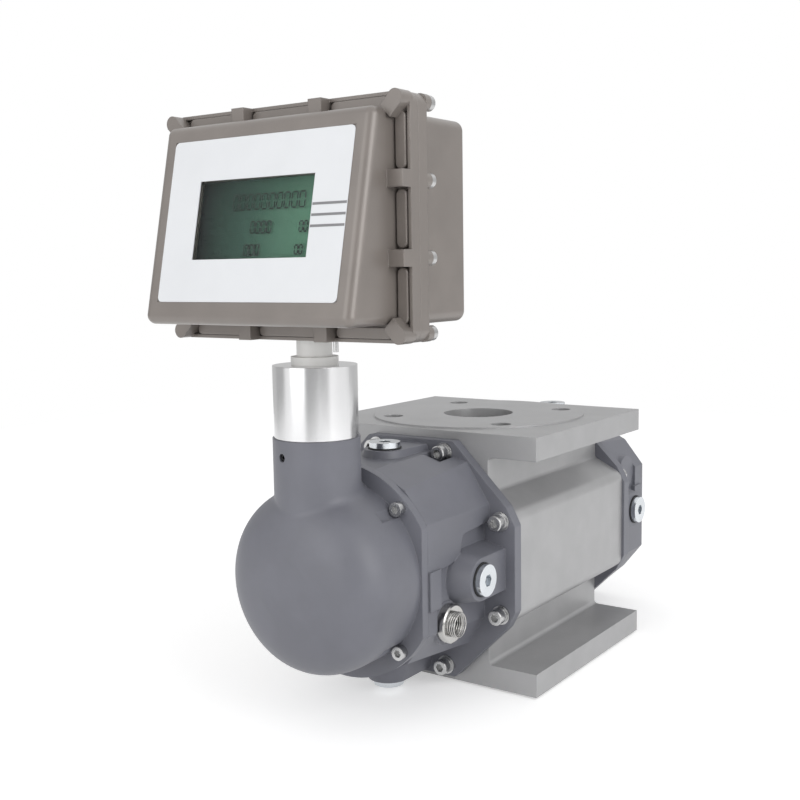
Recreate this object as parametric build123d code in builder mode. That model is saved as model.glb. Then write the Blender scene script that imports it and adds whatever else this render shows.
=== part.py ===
from build123d import *
import os
from math import atan2, cos, pi, radians, sin, sqrt, tan

# Roots flow meter with a turning display head, in millimetres, +Z up.
# The origin is the centre of the lower flange face and the gas runs along Z.
# The rotors turn about axes along Y, and the display looks towards -Y.
# Side -1 is the front end of the meter (-Y), side 1 is the rear end (+Y).

os.makedirs("parts", exist_ok=True)

# Fits
press_gap = 0.02
slide_gap = 0.1
running_gap = 0.3

# Meter body
face_to_face = 171.0
flange_width = 180.0
body_length = 160.0
flange_thick = 16.5
raised_face_radius = 75.5
raised_face_height = 1.2
port_radius = 25.0
port_straight = 30.0
passage_half_width = 28.0
passage_half_length = 52.0
passage_round = 12.0
bolt_circle_radius = 62.5
bolt_hole_radius = 7.0
bolt_hole_depth = 24.0
web_half = 55.0
web_shoulder = 45.5
block_half = 77.0
block_rise = 34.5
block_round = 8.0
casting_round = 3.0

# Rotors
rotor_spacing = 54.0
rotor_clearance = 0.2
chamber_clearance = 0.3
rotor_end_gap = 0.3
shaft_radius = 7.5
pocket_radius = 8.0
pocket_depth = 12.0
pocket_throw = 25.0

# Bearing plates and bearings
plate_thick = 16.0
plate_radius = 43.0
plate_screw_radius = 2.0
plate_screw_spot = (6.0, 38.5)
plate_screw_length = 22.0
shaft_hole_radius = 9.5
bearing_radius = 17.5
bearing_width = 11.0
inner_ring_radius = 10.5
shield_recess = 0.8
seal_width = 2.2
seal_depth = 1.5
seal_margin = 1.4

# Timing gears and oil slinger
gear_teeth = 27
gear_width = 10.0
gear_backlash = 0.3
gear_bore = 7.0
gear_web_thick = 6.0
nut_across = 19.0
nut_height = 7.0
slinger_radius = 20.0
slinger_thick = 2.0
slinger_collar = 10.0

# End covers
cover_flange = 8.0
flange_outline = ((33.5, 79.0), (73.0, 39.5), (79.0, 28.0))
flange_round = 3.0
drum_rise = 6.5
drum_wide = ((22.0, 65.5), (44.0, 60.0), (60.5, 34.0))
drum_narrow = ((21.0, 64.0), (43.0, 53.5), (58.5, 34.0))
front_cover_reach = 157.0
rear_cover_reach = 163.0
cover_wall = 6.0
cavity_radius = 50.0
gear_room_depth = 14.0
gear_room_gap = 0.8
cover_screw_spots = ((27.0, 71.5), (69.0, 30.5))
cover_screw_radius = 3.0
cover_head_radius = 5.0
cover_head_height = 6.0
cover_screw_depth = 14.0
washer_radius = 6.2
washer_thick = 1.4
spring_washer_radius = 5.2
spring_washer_thick = 1.6
spot_face_radius = 7.6
spot_face_depth = 16.0

# Oil plugs, their bosses and the pressure port
plug_reach = 116.5
plug_land_top = 76.0
plug_land_side = 72.0
plug_land_radius = 13.5
plug_land_draft = 14.0
plug_head_radius = 10.0
plug_head_height = 3.6
plug_shank_radius = 7.0
plug_shank_length = 9.0
plug_seal_radius = 10.8
plug_seal_thick = 0.8
plug_socket = 4.0
port_reach = 134.0
port_rise = -25.0
port_bush_face = 62.5
port_bush_radius = 12.0
port_bush_height = 5.5
port_bush_spigot = 10.0
port_spigot_radius = 9.0
port_hole_radius = 7.5
port_relief = 0.7
port_boss_radius = 13.6
side_pocket_floor = 56.5
side_pocket_low = -40.0
side_pocket_high = 30.0
side_pocket_edge = ((10.5, 147.0), (11.0, 134.0), (14.0, 122.0), (27.0, 118.0))
side_pocket_round = 2.5
side_pad = (24.0, 12.0)
side_pad_spot = (-0.5, 150.0)
side_pad_face = 60.2
oil_hole_depth = 36.0

# Counter cover with the neck
dome_radius = 57.6
dome_straight_length = 23.0
dome_nose = 38.0
dome_squareness = 2.83
dome_wall = 4.5
dome_flange = 6.0
dome_flange_radius = 67.5
dome_flat = 59.0
dome_screw_throw = 61.8
dome_screw_radius = 2.5
dome_head_radius = 4.25
dome_head_height = 5.0
dome_screw_depth = 12.0
dome_pocket_radius = 5.6
neck_back_gap = 2.0
neck_radius = 26.0
neck_top = 178.5
neck_bore = 20.1
neck_web_half = 19.0
neck_web_top = 150.0
neck_blend = 7.0
grub_hole_radius = 2.5
grub_height = 168.6
grub_side = -5.4

# Magnetic coupling and counter movement
magnet_side = 27.0
can_radius = 11.0
can_wall = 1.0
can_depth = 22.0
can_flange_radius = 18.0
can_flange_thick = 2.0
can_screw_throw = 15.0
small_screw_radius = 1.5
small_head_radius = 2.6
small_head_height = 1.8
small_screw_length = 5.0
can_hole_radius = 11.3
magnet_gap = 1.4
drive_cup_wall = 5.0
drive_cup_end_gap = 1.5
drive_cup_floor = 5.0
follower_radius = 9.0
follower_length = 14.0
follower_end_gap = 1.2
spindle_radius = 1.5
pulse_disc_radius = 13.0
pulse_disc_thick = 1.2
pulse_disc_gap = 10.0
pulse_slots = 8
frame_rise = 29.0
frame_plate_thick = 2.0
frame_half_width = 9.0
frame_half_height = 22.0
frame_leg_thick = 3.0
frame_foot = 6.0
sensor_width = 10.0
sensor_length = 9.0
sensor_slot = 3.0
sensor_reach_in = 4.0

# Turning tube and nipple
tube_radius = 25.0
tube_top = 221.0
tube_bore = 17.0
tube_spigot = 20.0
tube_spigot_length = 26.0
tube_cap_thick = 6.0
nipple_radius = 10.5
nipple_bore = 8.0
nipple_collar = 14.0
nipple_collar_height = 5.0
nipple_end = 256.0
nipple_nut_across = 24.0
nipple_nut_height = 5.0
grub_radius = 2.5
grub_length = 5.0
groove_depth = 1.5
groove_width = 6.0

# Display box
box_height = 302.0
box_half_width = 85.0
box_half_height = 65.5
box_corner = 7.0
parting_gap = 14.0
rear_flange = 8.0
rear_half_width = 76.0
rear_half_height = 56.5
rear_depth = 60.0
box_wall = 4.0
box_round = 6.0
lid_flange = 7.5
lid_rim = 2.0
lid_recess = 3.0
lid_half_width = 75.0
lid_half_height = 56.2
lid_rise = 0.8
lid_wall = 3.5
lid_top_depth = 25.0
lid_bottom_depth = 49.5
lid_round = 5.0
bolt_pad_depth = 15.0
bolt_pad_half = 4.5
rear_pad = 5.0
box_bolt_inset = 4.5
box_bolt_side = 28.0
box_bolt_rise = 20.5
box_bolt_radius = 2.5
box_bolt_head_radius = 4.2
box_bolt_head_height = 4.0
gasket_width = 2.2
gasket_thick = 1.5
gasket_inset = 2.0
boss_radius = 15.0
seal_screw_side = 22.4
seal_screw_inset = 6.0
seal_screw_radius = 1.5
seal_screw_drop = 7.0
seal_screw_grip = 6.0

# Label, window and electronics
label_width = 130.0
label_height = 92.4
label_thick = 0.6
label_corner = 3.0
label_centre = 304.6
window_width = 83.0
window_height = 44.7
pane_margin = 4.0
pane_thick = 1.2
lcd_margin = 6.0
lcd_thick = 7.0
board_width = 118.0
board_height = 84.0
board_thick = 1.6
board_plug = (50.0, 7.0)
post_radius = 3.5
post_inset = 5.0
terminal_board_width = 104.0
terminal_board_height = 36.0
terminal_board_centre = 284.0
terminal_width = 84.0
terminal_height = 14.0
terminal_depth = 12.0
terminal_poles = 10
post_length = 5.0
cell_radius = 16.5
cell_length = 60.0
cell_centre = 332.0
holder_thick = 2.0

# Derived places
centre = face_to_face / 2
end = body_length / 2
pitch_radius = rotor_spacing / 2
roll_radius = pitch_radius / 4
chamber_radius = pitch_radius + 2 * roll_radius - rotor_clearance + chamber_clearance
rotor_half = end - plate_thick - rotor_end_gap
flange_reach = end + cover_flange
dome_face = front_cover_reach + dome_flange
dome_height = centre + drum_rise
dome_straight = front_cover_reach + dome_straight_length
neck_reach = front_cover_reach + neck_radius + neck_back_gap
frame_plate_reach = front_cover_reach + frame_rise
pulse_disc_reach = frame_plate_reach - pulse_disc_gap
parting_reach = neck_reach + parting_gap
rear_back = parting_reach - rear_depth
face_top_reach = parting_reach + lid_top_depth
face_bottom_reach = parting_reach + lid_bottom_depth
bolt_pad_reach = parting_reach + bolt_pad_depth
seal_screw_spot = (seal_screw_side, seal_screw_inset - parting_reach)
lid_centre = box_height + lid_rise
box_floor = box_height - rear_half_height + box_wall
face_slope = (face_bottom_reach - face_top_reach) / (2 * lid_half_height)
face_tilt = atan2(face_bottom_reach - face_top_reach, 2 * lid_half_height)
label_reach = face_top_reach + face_slope * (lid_centre + lid_half_height - label_centre)
ends = ((-1, "front"), (1, "rear"))
shafts = ((-pitch_radius, "left"), (pitch_radius, "right"))


def end_plane(side, reach):
    """Plane facing outwards at an end of the meter, centred between the shafts."""
    return Plane(origin=(0, side * reach, centre), x_dir=(1, 0, 0), z_dir=(0, side, 0))


def level(height):
    """Horizontal plane at a height, with X and Y as on the whole meter."""
    return Plane.XY.offset(height)


def four_way(quarter):
    """Closed outline from the points of its first quarter, mirrored both ways."""
    right = list(quarter) + [(x, -y) for x, y in reversed(quarter)]
    return right + [(-x, y) for x, y in reversed(right)]


def four_spots(spot):
    """The four mirror images of a place."""
    return [(i * spot[0], j * spot[1]) for i in (-1, 1) for j in (-1, 1)]


def head_screws(seat, spots, radius, length, head_radius, head_height, socket, washers=0.0):
    """Socket screws on a seat whose normal points out of their heads."""
    top = seat.offset(washers)
    with BuildPart() as screws:
        with BuildSketch(top):
            with Locations(*spots):
                Circle(head_radius)
        extrude(amount=head_height)
        with BuildSketch(top):
            with Locations(*spots):
                Circle(radius)
        extrude(amount=-length - washers)
        with BuildSketch(top.offset(head_height)):
            with Locations(*spots):
                RegularPolygon(socket, 6)
        extrude(amount=-head_height / 2, mode=Mode.SUBTRACT)
    return screws


def rings(seat, spots, outer, inner, thick):
    """Flat rings standing on a seat at several places."""
    with BuildPart() as group:
        with BuildSketch(seat):
            with Locations(*spots):
                Circle(outer)
                Circle(inner, mode=Mode.SUBTRACT)
        extrude(amount=thick)
    return group


# Meter body: two flange plates, the web and the rotor block in one piece
plate_half = centre - raised_face_height
with BuildPart() as meter_body:
    with BuildSketch(end_plane(-1, end)) as body_section:
        with BuildLine():
            Polyline(*four_way((
                (flange_width / 2, plate_half),
                (flange_width / 2, centre - flange_thick),
                (web_half, centre - flange_thick),
                (web_half, web_shoulder),
                (block_half, block_rise),
            )), close=True)
        make_face()
        corners = body_section.vertices()
        fillet([v for v in corners if abs(abs(v.X) - block_half) < 0.1], block_round)
        corners = body_section.vertices()
        fillet([v for v in corners if abs(abs(v.X) - web_half) < 0.1], casting_round)
    extrude(amount=-body_length)
    for height, grow in ((raised_face_height, -1), (face_to_face - raised_face_height, 1)):
        with BuildSketch(level(height)):
            Circle(raised_face_radius)
        extrude(amount=grow * raised_face_height)
    with BuildSketch(end_plane(-1, end)):
        with Locations((-pitch_radius, 0), (pitch_radius, 0)):
            Circle(chamber_radius)
    extrude(amount=-body_length, mode=Mode.SUBTRACT)
    # Round ports that open into a wide passage over the rotors
    for face, grow in ((0, 1), (face_to_face, -1)):
        with BuildSketch(level(face)):
            Circle(port_radius)
        extrude(amount=grow * port_straight, mode=Mode.SUBTRACT)
        with BuildSketch(level(face + grow * port_straight)):
            RectangleRounded(2 * passage_half_width, 2 * passage_half_length, passage_round)
        extrude(amount=grow * (centre - pitch_radius - port_straight), mode=Mode.SUBTRACT)
    for side, _ in ends:
        with BuildSketch(end_plane(side, end)):
            SlotCenterToCenter(rotor_spacing, 2 * plate_radius + 2 * press_gap)
        extrude(amount=-plate_thick, mode=Mode.SUBTRACT)
        with BuildSketch(end_plane(side, end)):
            for spot in cover_screw_spots:
                with Locations(*four_spots(spot)):
                    Circle(cover_screw_radius + press_gap)
        extrude(amount=-cover_screw_depth - slide_gap, mode=Mode.SUBTRACT)
        with BuildSketch(end_plane(side, end - plate_thick)):
            with Locations(*four_spots(plate_screw_spot)):
                Circle(plate_screw_radius + press_gap)
        extrude(amount=-plate_screw_length + plate_thick / 2, mode=Mode.SUBTRACT)
    for face, grow in ((0, 1), (face_to_face, -1)):
        with BuildSketch(level(face)):
            with PolarLocations(bolt_circle_radius, 4, start_angle=45):
                Circle(bolt_hole_radius)
        extrude(amount=grow * bolt_hole_depth, mode=Mode.SUBTRACT)
meter_body.part.label = "meter_body"
export_step(meter_body.part, "parts/meter_body.step")


def rotor_curve(quarter):
    """One quarter of the two-lobed outline: a lobe on odd quarters, a waist on even ones.

    A circle a quarter of the pitch radius rolls outside the pitch circle for a lobe
    and inside it for a waist. Each point is then drawn in along the outline's normal.
    """
    start = radians(45 + 90 * quarter)
    points = []
    for step in range(7):
        turn = radians(15 * step)
        if quarter % 2 == 0:
            x = (pitch_radius + roll_radius) * cos(turn) - roll_radius * cos(5 * turn)
            y = (pitch_radius + roll_radius) * sin(turn) - roll_radius * sin(5 * turn)
            x -= rotor_clearance * sin(3 * turn)
            y += rotor_clearance * cos(3 * turn)
        else:
            x = (pitch_radius - roll_radius) * cos(turn) + roll_radius * cos(3 * turn)
            y = (pitch_radius - roll_radius) * sin(turn) - roll_radius * sin(3 * turn)
            x -= rotor_clearance * sin(turn)
            y -= rotor_clearance * cos(turn)
        points.append((x * cos(start) - y * sin(start), x * sin(start) + y * cos(start)))
    return points


# Rotors: the right one stands upright at rest, the left one lies across
for offset, place in shafts:
    along = (1, 0, 0) if place == "right" else (0, 0, 1)
    seat = Plane(origin=(offset, -rotor_half, centre), x_dir=along, z_dir=(0, -1, 0))
    with BuildPart() as rotor:
        with BuildSketch(seat):
            with BuildLine():
                for quarter in range(4):
                    Spline(*rotor_curve(quarter))
            make_face()
            Circle(shaft_radius + press_gap, mode=Mode.SUBTRACT)
        extrude(amount=-2 * rotor_half)
        with BuildSketch(seat, seat.offset(-2 * rotor_half)):
            with Locations((0, pocket_throw), (0, -pocket_throw)):
                Circle(pocket_radius)
        extrude(amount=pocket_depth, both=True, mode=Mode.SUBTRACT)
    rotor.part.label = "rotor_" + place
    export_step(rotor.part, f"parts/rotor_{place}.step")

# Shafts: the right one also carries the driving magnet at the front
gear_near = end + 2.0
gear_far = gear_near + gear_width
drive_start = front_cover_reach + can_flange_thick - can_depth - magnet_gap - drive_cup_floor
for offset, place in shafts:
    front_end = drive_start + drive_cup_floor - 1.0 if place == "right" else end + 3.0
    rear_end = gear_far + nut_height + (slinger_collar if place == "right" else 2.0)
    with BuildPart() as shaft:
        with BuildSketch(Plane(origin=(offset, 0, centre), x_dir=(0, 1, 0), z_dir=(1, 0, 0))):
            with BuildLine():
                Polyline(
                    (-front_end, 0),
                    (-front_end, gear_bore),
                    (-end, gear_bore),
                    (-end, shaft_radius),
                    (end, shaft_radius),
                    (end, gear_bore),
                    (gear_far, gear_bore),
                    (gear_far, gear_bore - 1.0),
                    (rear_end, gear_bore - 1.0),
                    (rear_end, 0),
                    close=True,
                )
            make_face()
        revolve(axis=Axis((offset, 0, centre), (0, 1, 0)))
    shaft.part.label = "shaft_" + place
    export_step(shaft.part, f"parts/shaft_{place}.step")

# Bearing plates, one at each end of the rotor block
for side, place in ends:
    outer_face = end_plane(side, end)
    with BuildPart() as bearing_plate:
        with BuildSketch(outer_face):
            SlotCenterToCenter(rotor_spacing, 2 * plate_radius)
            with Locations((-pitch_radius, 0), (pitch_radius, 0)):
                Circle(shaft_hole_radius, mode=Mode.SUBTRACT)
            with Locations(*four_spots(plate_screw_spot)):
                Circle(plate_screw_radius + slide_gap, mode=Mode.SUBTRACT)
        extrude(amount=-plate_thick)
        with BuildSketch(outer_face):
            with Locations((-pitch_radius, 0), (pitch_radius, 0)):
                Circle(bearing_radius + press_gap)
        extrude(amount=-bearing_width, mode=Mode.SUBTRACT)
        with BuildSketch(outer_face):
            with Locations(*four_spots(plate_screw_spot)):
                Circle(2 * plate_screw_radius)
        extrude(amount=-plate_thick / 2, mode=Mode.SUBTRACT)
    bearing_plate.part.label = place + "_bearing_plate"
    export_step(bearing_plate.part, f"parts/{place}_bearing_plate.step")

with BuildPart() as plate_screws:
    for side, _ in ends:
        add(head_screws(
            end_plane(side, end - plate_thick / 2), four_spots(plate_screw_spot),
            plate_screw_radius, plate_screw_length - plate_thick / 2,
            2 * plate_screw_radius - slide_gap, 2 * plate_screw_radius, plate_screw_radius,
        ).part)
plate_screws.part.label = "plate_screws"
export_step(plate_screws.part, "parts/plate_screws.step")

# Ball bearings: sealed outer rings in the plates, inner rings on the shafts
with BuildPart() as bearing_outer_rings:
    for side, _ in ends:
        with BuildSketch(end_plane(side, end)):
            with Locations((-pitch_radius, 0), (pitch_radius, 0)):
                Circle(bearing_radius)
                Circle(inner_ring_radius + running_gap, mode=Mode.SUBTRACT)
        extrude(amount=-bearing_width)
        with BuildSketch(end_plane(side, end)):
            with Locations((-pitch_radius, 0), (pitch_radius, 0)):
                Circle(bearing_radius - 2.5)
                Circle(inner_ring_radius + running_gap, mode=Mode.SUBTRACT)
        extrude(amount=-shield_recess, mode=Mode.SUBTRACT)
bearing_outer_rings.part.label = "bearing_outer_rings"
export_step(bearing_outer_rings.part, "parts/bearing_outer_rings.step")

for offset, place in shafts:
    with BuildPart() as inner_rings:
        for side, _ in ends:
            with BuildSketch(end_plane(side, end)):
                with Locations((offset, 0)):
                    Circle(inner_ring_radius)
                    Circle(shaft_radius + press_gap, mode=Mode.SUBTRACT)
            extrude(amount=-bearing_width)
    inner_rings.part.label = "bearing_inner_rings_" + place
    export_step(inner_rings.part, f"parts/bearing_inner_rings_{place}.step")


def gear_outline(teeth, pitch, backlash):
    """Points of a spur gear with involute flanks at a pressure angle of 20 degrees."""
    module = 2 * pitch / teeth
    base = pitch * cos(radians(20))
    root = pitch - 1.25 * module
    tip = pitch + module
    half_tooth = pi / (2 * teeth) + tan(radians(20)) - radians(20) - backlash / (2 * pitch)
    flank = []
    for radius in (base, (base + pitch) / 2, pitch, (pitch + tip) / 2, tip):
        roll = sqrt(max(0.0, (radius / base) ** 2 - 1))
        flank.append((radius, half_tooth - (roll - atan2(roll, 1))))
    flank.insert(0, (root, flank[0][1]))
    points = []
    for tooth in range(teeth):
        middle = 2 * pi * tooth / teeth
        for radius, away in flank:
            points.append((radius * cos(middle - away), radius * sin(middle - away)))
        for radius, away in reversed(flank):
            points.append((radius * cos(middle + away), radius * sin(middle + away)))
    return points


# Timing gears keep the rotors a quarter turn apart
gear_module = rotor_spacing / gear_teeth
gear_room = pitch_radius + gear_module + gear_room_gap
for offset, place in shafts:
    seat = Plane(origin=(offset, gear_near, centre), x_dir=(1, 0, 0), z_dir=(0, 1, 0))
    with BuildPart() as gear:
        with BuildSketch(seat):
            Polygon(*gear_outline(gear_teeth, pitch_radius, gear_backlash), align=None)
            Circle(gear_bore + press_gap, mode=Mode.SUBTRACT)
        extrude(amount=gear_width)
        with BuildSketch(seat.offset(gear_width)):
            Circle(pitch_radius - 2.2 * gear_module)
            Circle(nut_across / 2 + 3.0, mode=Mode.SUBTRACT)
        extrude(amount=gear_web_thick - gear_width, mode=Mode.SUBTRACT)
        with BuildSketch(seat):
            with PolarLocations((pitch_radius - 2.2 * gear_module + nut_across / 2 + 3.0) / 2, 6):
                Circle(2.2)
        extrude(amount=gear_width, mode=Mode.SUBTRACT)
    gear.part.label = "timing_gear_" + place
    export_step(gear.part, f"parts/timing_gear_{place}.step")

    with BuildPart() as gear_nut:
        with BuildSketch(seat.offset(gear_width)):
            RegularPolygon(nut_across / 2, 6, major_radius=False)
            Circle(gear_bore - 1.0 + press_gap, mode=Mode.SUBTRACT)
        extrude(amount=nut_height)
    gear_nut.part.label = "gear_nut_" + place
    export_step(gear_nut.part, f"parts/gear_nut_{place}.step")

# Oil slinger on the tail of the right shaft
slinger_seat = Plane(
    origin=(pitch_radius, gear_far + nut_height, centre), x_dir=(1, 0, 0), z_dir=(0, 1, 0)
)
with BuildPart() as oil_slinger:
    with BuildSketch(slinger_seat):
        Circle(gear_bore + 3.0)
    extrude(amount=slinger_collar)
    with BuildSketch(slinger_seat.offset(slinger_collar - slinger_thick)):
        Circle(slinger_radius)
        with PolarLocations(slinger_radius - 4.5, 6):
            Circle(2.5, mode=Mode.SUBTRACT)
    extrude(amount=slinger_thick)
    with BuildSketch(slinger_seat):
        Circle(gear_bore - 1.0 + press_gap)
    extrude(amount=slinger_collar, mode=Mode.SUBTRACT)
oil_slinger.part.label = "oil_slinger"
export_step(oil_slinger.part, "parts/oil_slinger.step")


def side_plane(side, x):
    """Plane facing +X with its x upwards at the front (turned over at the rear) and y outwards."""
    return Plane(origin=(x, 0, centre), x_dir=(0, 0, -side), z_dir=(1, 0, 0))


def plug_flats(side):
    """Seats of the oil plugs of one end: above, below and on the right."""
    place = (0, side * plug_reach)
    return (
        Plane(origin=(0, place[1], centre + plug_land_top), x_dir=(1, 0, 0), z_dir=(0, 0, 1)),
        Plane(origin=(0, place[1], centre - plug_land_top), x_dir=(1, 0, 0), z_dir=(0, 0, -1)),
        Plane(origin=(plug_land_side, place[1], centre), x_dir=(0, 1, 0), z_dir=(1, 0, 0)),
    )


# Screw places on the front wall: around the dome, around the magnet can, at the frame's feet
dome_screw_spots = [
    (x, y + drum_rise) for x, y in four_spots((dome_screw_throw * cos(pi / 4),) * 2)
]
can_screw_spots = [
    (magnet_side + x, y) for x, y in four_spots((can_screw_throw * cos(pi / 4),) * 2)
]
frame_screw_spots = [
    (magnet_side + x, y)
    for x, y in four_spots((frame_half_width - 4.0, frame_half_height + frame_foot / 2))
]
small_screw_spots = can_screw_spots + frame_screw_spots
port_seat = port_bush_face - port_bush_height

# End covers: the same casting, turned over at the rear and closed there
land_middle = (flange_reach + plug_reach) / 2
land_length = plug_reach - flange_reach
for side, place in ends:
    reach = front_cover_reach if side < 0 else rear_cover_reach
    with BuildPart() as cover:
        with BuildSketch(end_plane(side, end)) as flange_shape:
            with BuildLine():
                Polyline(*four_way(flange_outline), close=True)
            make_face()
            fillet(flange_shape.vertices(), flange_round)
        extrude(amount=cover_flange)
        for section, distance in ((drum_wide, flange_reach), (drum_narrow, reach)):
            with BuildSketch(end_plane(side, distance)):
                with Locations((0, drum_rise)):
                    Polygon(*four_way(section), align=None)
        loft()
        # Pocket in the side of the drum, open to the flange and to the bottom
        with BuildSketch(side_plane(side, side_pocket_floor)) as side_pocket:
            with BuildLine():
                Polyline(
                    (side_pocket_low, side_pocket_edge[0][1]), *side_pocket_edge,
                    (side_pocket_high, flange_reach), (side_pocket_low, flange_reach), close=True
                )
            make_face()
            fillet(side_pocket.vertices().sort_by(Axis.Z)[2:6], side_pocket_round)
        extrude(amount=flange_width, mode=Mode.SUBTRACT)
        # Flat pad on the side behind the dome
        with BuildSketch(side_plane(side, side_pocket_floor)):
            with Locations(side_pad_spot):
                Rectangle(*side_pad)
        extrude(amount=side_pad_face - side_pocket_floor)
        # Lands for the plugs above, below and on the right
        for flat in (
            Plane(origin=(0, 0, centre + plug_land_top), x_dir=(-1, 0, 0), z_dir=(0, 0, -1)),
            Plane(origin=(0, 0, centre - plug_land_top), x_dir=(1, 0, 0), z_dir=(0, 0, 1)),
            Plane(origin=(plug_land_side, 0, centre), x_dir=(0, 0, 1), z_dir=(-1, 0, 0)),
        ):
            with BuildSketch(flat):
                with Locations((0, side * plug_reach)):
                    Circle(plug_land_radius)
                with Locations((0, side * land_middle)):
                    Rectangle(2 * plug_land_radius, land_length)
            extrude(amount=plug_land_top - drum_wide[0][1] + 6.0, taper=-plug_land_draft)
        # Spot faces and holes for the flange screws
        for spot in cover_screw_spots:
            with BuildSketch(end_plane(side, flange_reach)):
                with Locations(*four_spots(spot)):
                    Circle(spot_face_radius)
            extrude(amount=spot_face_depth, mode=Mode.SUBTRACT)
            with BuildSketch(end_plane(side, end)):
                with Locations(*four_spots(spot)):
                    Circle(cover_screw_radius + slide_gap)
            extrude(amount=cover_flange, mode=Mode.SUBTRACT)
        # Room for the gears, the round cavity and the groove for the seal
        with BuildSketch(end_plane(side, end)):
            SlotCenterToCenter(rotor_spacing, 2 * gear_room)
        extrude(amount=gear_room_depth, mode=Mode.SUBTRACT)
        with BuildSketch(end_plane(side, flange_reach)):
            with Locations((0, drum_rise)):
                Circle(cavity_radius)
        extrude(amount=reach - cover_wall - flange_reach, mode=Mode.SUBTRACT)
        with BuildSketch(end_plane(side, end)):
            SlotCenterToCenter(rotor_spacing, 2 * (plate_radius + seal_margin + seal_width))
            SlotCenterToCenter(rotor_spacing, 2 * (plate_radius + seal_margin), mode=Mode.SUBTRACT)
        extrude(amount=seal_depth, mode=Mode.SUBTRACT)
        # Tapped holes for the oil plugs
        for flat in plug_flats(side):
            with BuildSketch(flat):
                Circle(plug_shank_radius + press_gap)
            extrude(amount=-oil_hole_depth, mode=Mode.SUBTRACT)
        # Round boss low on the side for the pressure port
        with BuildSketch(side_plane(side, port_seat)):
            with Locations((port_rise, port_reach)):
                Circle(port_boss_radius)
        extrude(amount=cavity_radius / 2 - port_seat)
        with BuildSketch(end_plane(side, flange_reach)):
            with Locations((0, drum_rise)):
                Circle(cavity_radius)
        extrude(amount=reach - cover_wall - flange_reach, mode=Mode.SUBTRACT)
        if side < 0:
            with BuildSketch(side_plane(side, port_seat)):
                with Locations((port_rise, port_reach)):
                    Circle(port_spigot_radius + press_gap)
            extrude(amount=-port_bush_spigot - slide_gap, mode=Mode.SUBTRACT)
            with BuildSketch(side_plane(side, port_seat)):
                with Locations((port_rise, port_reach)):
                    Circle(port_hole_radius + port_relief)
            extrude(amount=-cavity_radius / 2, mode=Mode.SUBTRACT)
            # Front wall: hole for the magnet can, its screws, seal groove, counter cover screws
            with BuildSketch(end_plane(side, reach)):
                with Locations((magnet_side, 0)):
                    Circle(can_hole_radius)
            extrude(amount=-cover_wall, mode=Mode.SUBTRACT)
            with BuildSketch(end_plane(side, reach)):
                with Locations(*small_screw_spots):
                    Circle(small_screw_radius + press_gap)
            extrude(amount=-small_screw_length, mode=Mode.SUBTRACT)
            with BuildSketch(end_plane(side, reach)):
                with Locations((0, drum_rise)):
                    Circle(dome_radius - dome_wall + seal_margin + seal_width)
                    Circle(dome_radius - dome_wall + seal_margin, mode=Mode.SUBTRACT)
            extrude(amount=-seal_depth, mode=Mode.SUBTRACT)
            with BuildSketch(end_plane(side, reach)):
                with Locations(*dome_screw_spots):
                    Circle(dome_screw_radius + press_gap)
            extrude(amount=-dome_screw_depth, mode=Mode.SUBTRACT)
    cover.part.label = place + "_cover"
    export_step(cover.part, f"parts/{place}_cover.step")

    # Seal between this cover and the body
    with BuildPart() as cover_seal:
        with BuildSketch(end_plane(side, end)):
            SlotCenterToCenter(rotor_spacing, 2 * (plate_radius + seal_margin + seal_width))
            SlotCenterToCenter(rotor_spacing, 2 * (plate_radius + seal_margin), mode=Mode.SUBTRACT)
        extrude(amount=seal_depth)
    cover_seal.part.label = place + "_cover_seal"
    export_step(cover_seal.part, f"parts/{place}_cover_seal.step")

# Washers and screws of both covers
cover_spots = four_spots(cover_screw_spots[0]) + four_spots(cover_screw_spots[1])
with BuildPart() as cover_washers:
    for side, _ in ends:
        add(rings(
            end_plane(side, flange_reach), cover_spots,
            washer_radius, cover_screw_radius + slide_gap, washer_thick,
        ).part)
cover_washers.part.label = "cover_washers"
export_step(cover_washers.part, "parts/cover_washers.step")

with BuildPart() as spring_washers:
    for side, _ in ends:
        add(rings(
            end_plane(side, flange_reach + washer_thick), cover_spots,
            spring_washer_radius, cover_screw_radius + slide_gap, spring_washer_thick,
        ).part)
spring_washers.part.label = "spring_washers"
export_step(spring_washers.part, "parts/spring_washers.step")

with BuildPart() as cover_screws:
    for side, _ in ends:
        add(head_screws(
            end_plane(side, flange_reach), cover_spots,
            cover_screw_radius, cover_flange + cover_screw_depth, cover_head_radius,
            cover_head_height, cover_screw_radius, washer_thick + spring_washer_thick,
        ).part)
cover_screws.part.label = "cover_screws"
export_step(cover_screws.part, "parts/cover_screws.step")

# Oil plugs of both covers with their bonded seals
with BuildPart() as oil_plugs:
    for flat in plug_flats(-1) + plug_flats(1):
        with BuildSketch(flat.offset(plug_seal_thick)):
            Circle(plug_head_radius)
        extrude(amount=plug_head_height)
        with BuildSketch(flat.offset(plug_seal_thick)):
            Circle(plug_shank_radius)
        extrude(amount=-plug_shank_length)
        with BuildSketch(flat.offset(plug_seal_thick + plug_head_height)):
            RegularPolygon(plug_socket, 6)
        extrude(amount=-plug_socket, mode=Mode.SUBTRACT)
oil_plugs.part.label = "oil_plugs"
export_step(oil_plugs.part, "parts/oil_plugs.step")

with BuildPart() as plug_seals:
    for flat in plug_flats(-1) + plug_flats(1):
        with BuildSketch(flat):
            Circle(plug_seal_radius)
            Circle(plug_shank_radius + press_gap, mode=Mode.SUBTRACT)
        extrude(amount=plug_seal_thick)
plug_seals.part.label = "plug_seals"
export_step(plug_seals.part, "parts/plug_seals.step")

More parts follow.
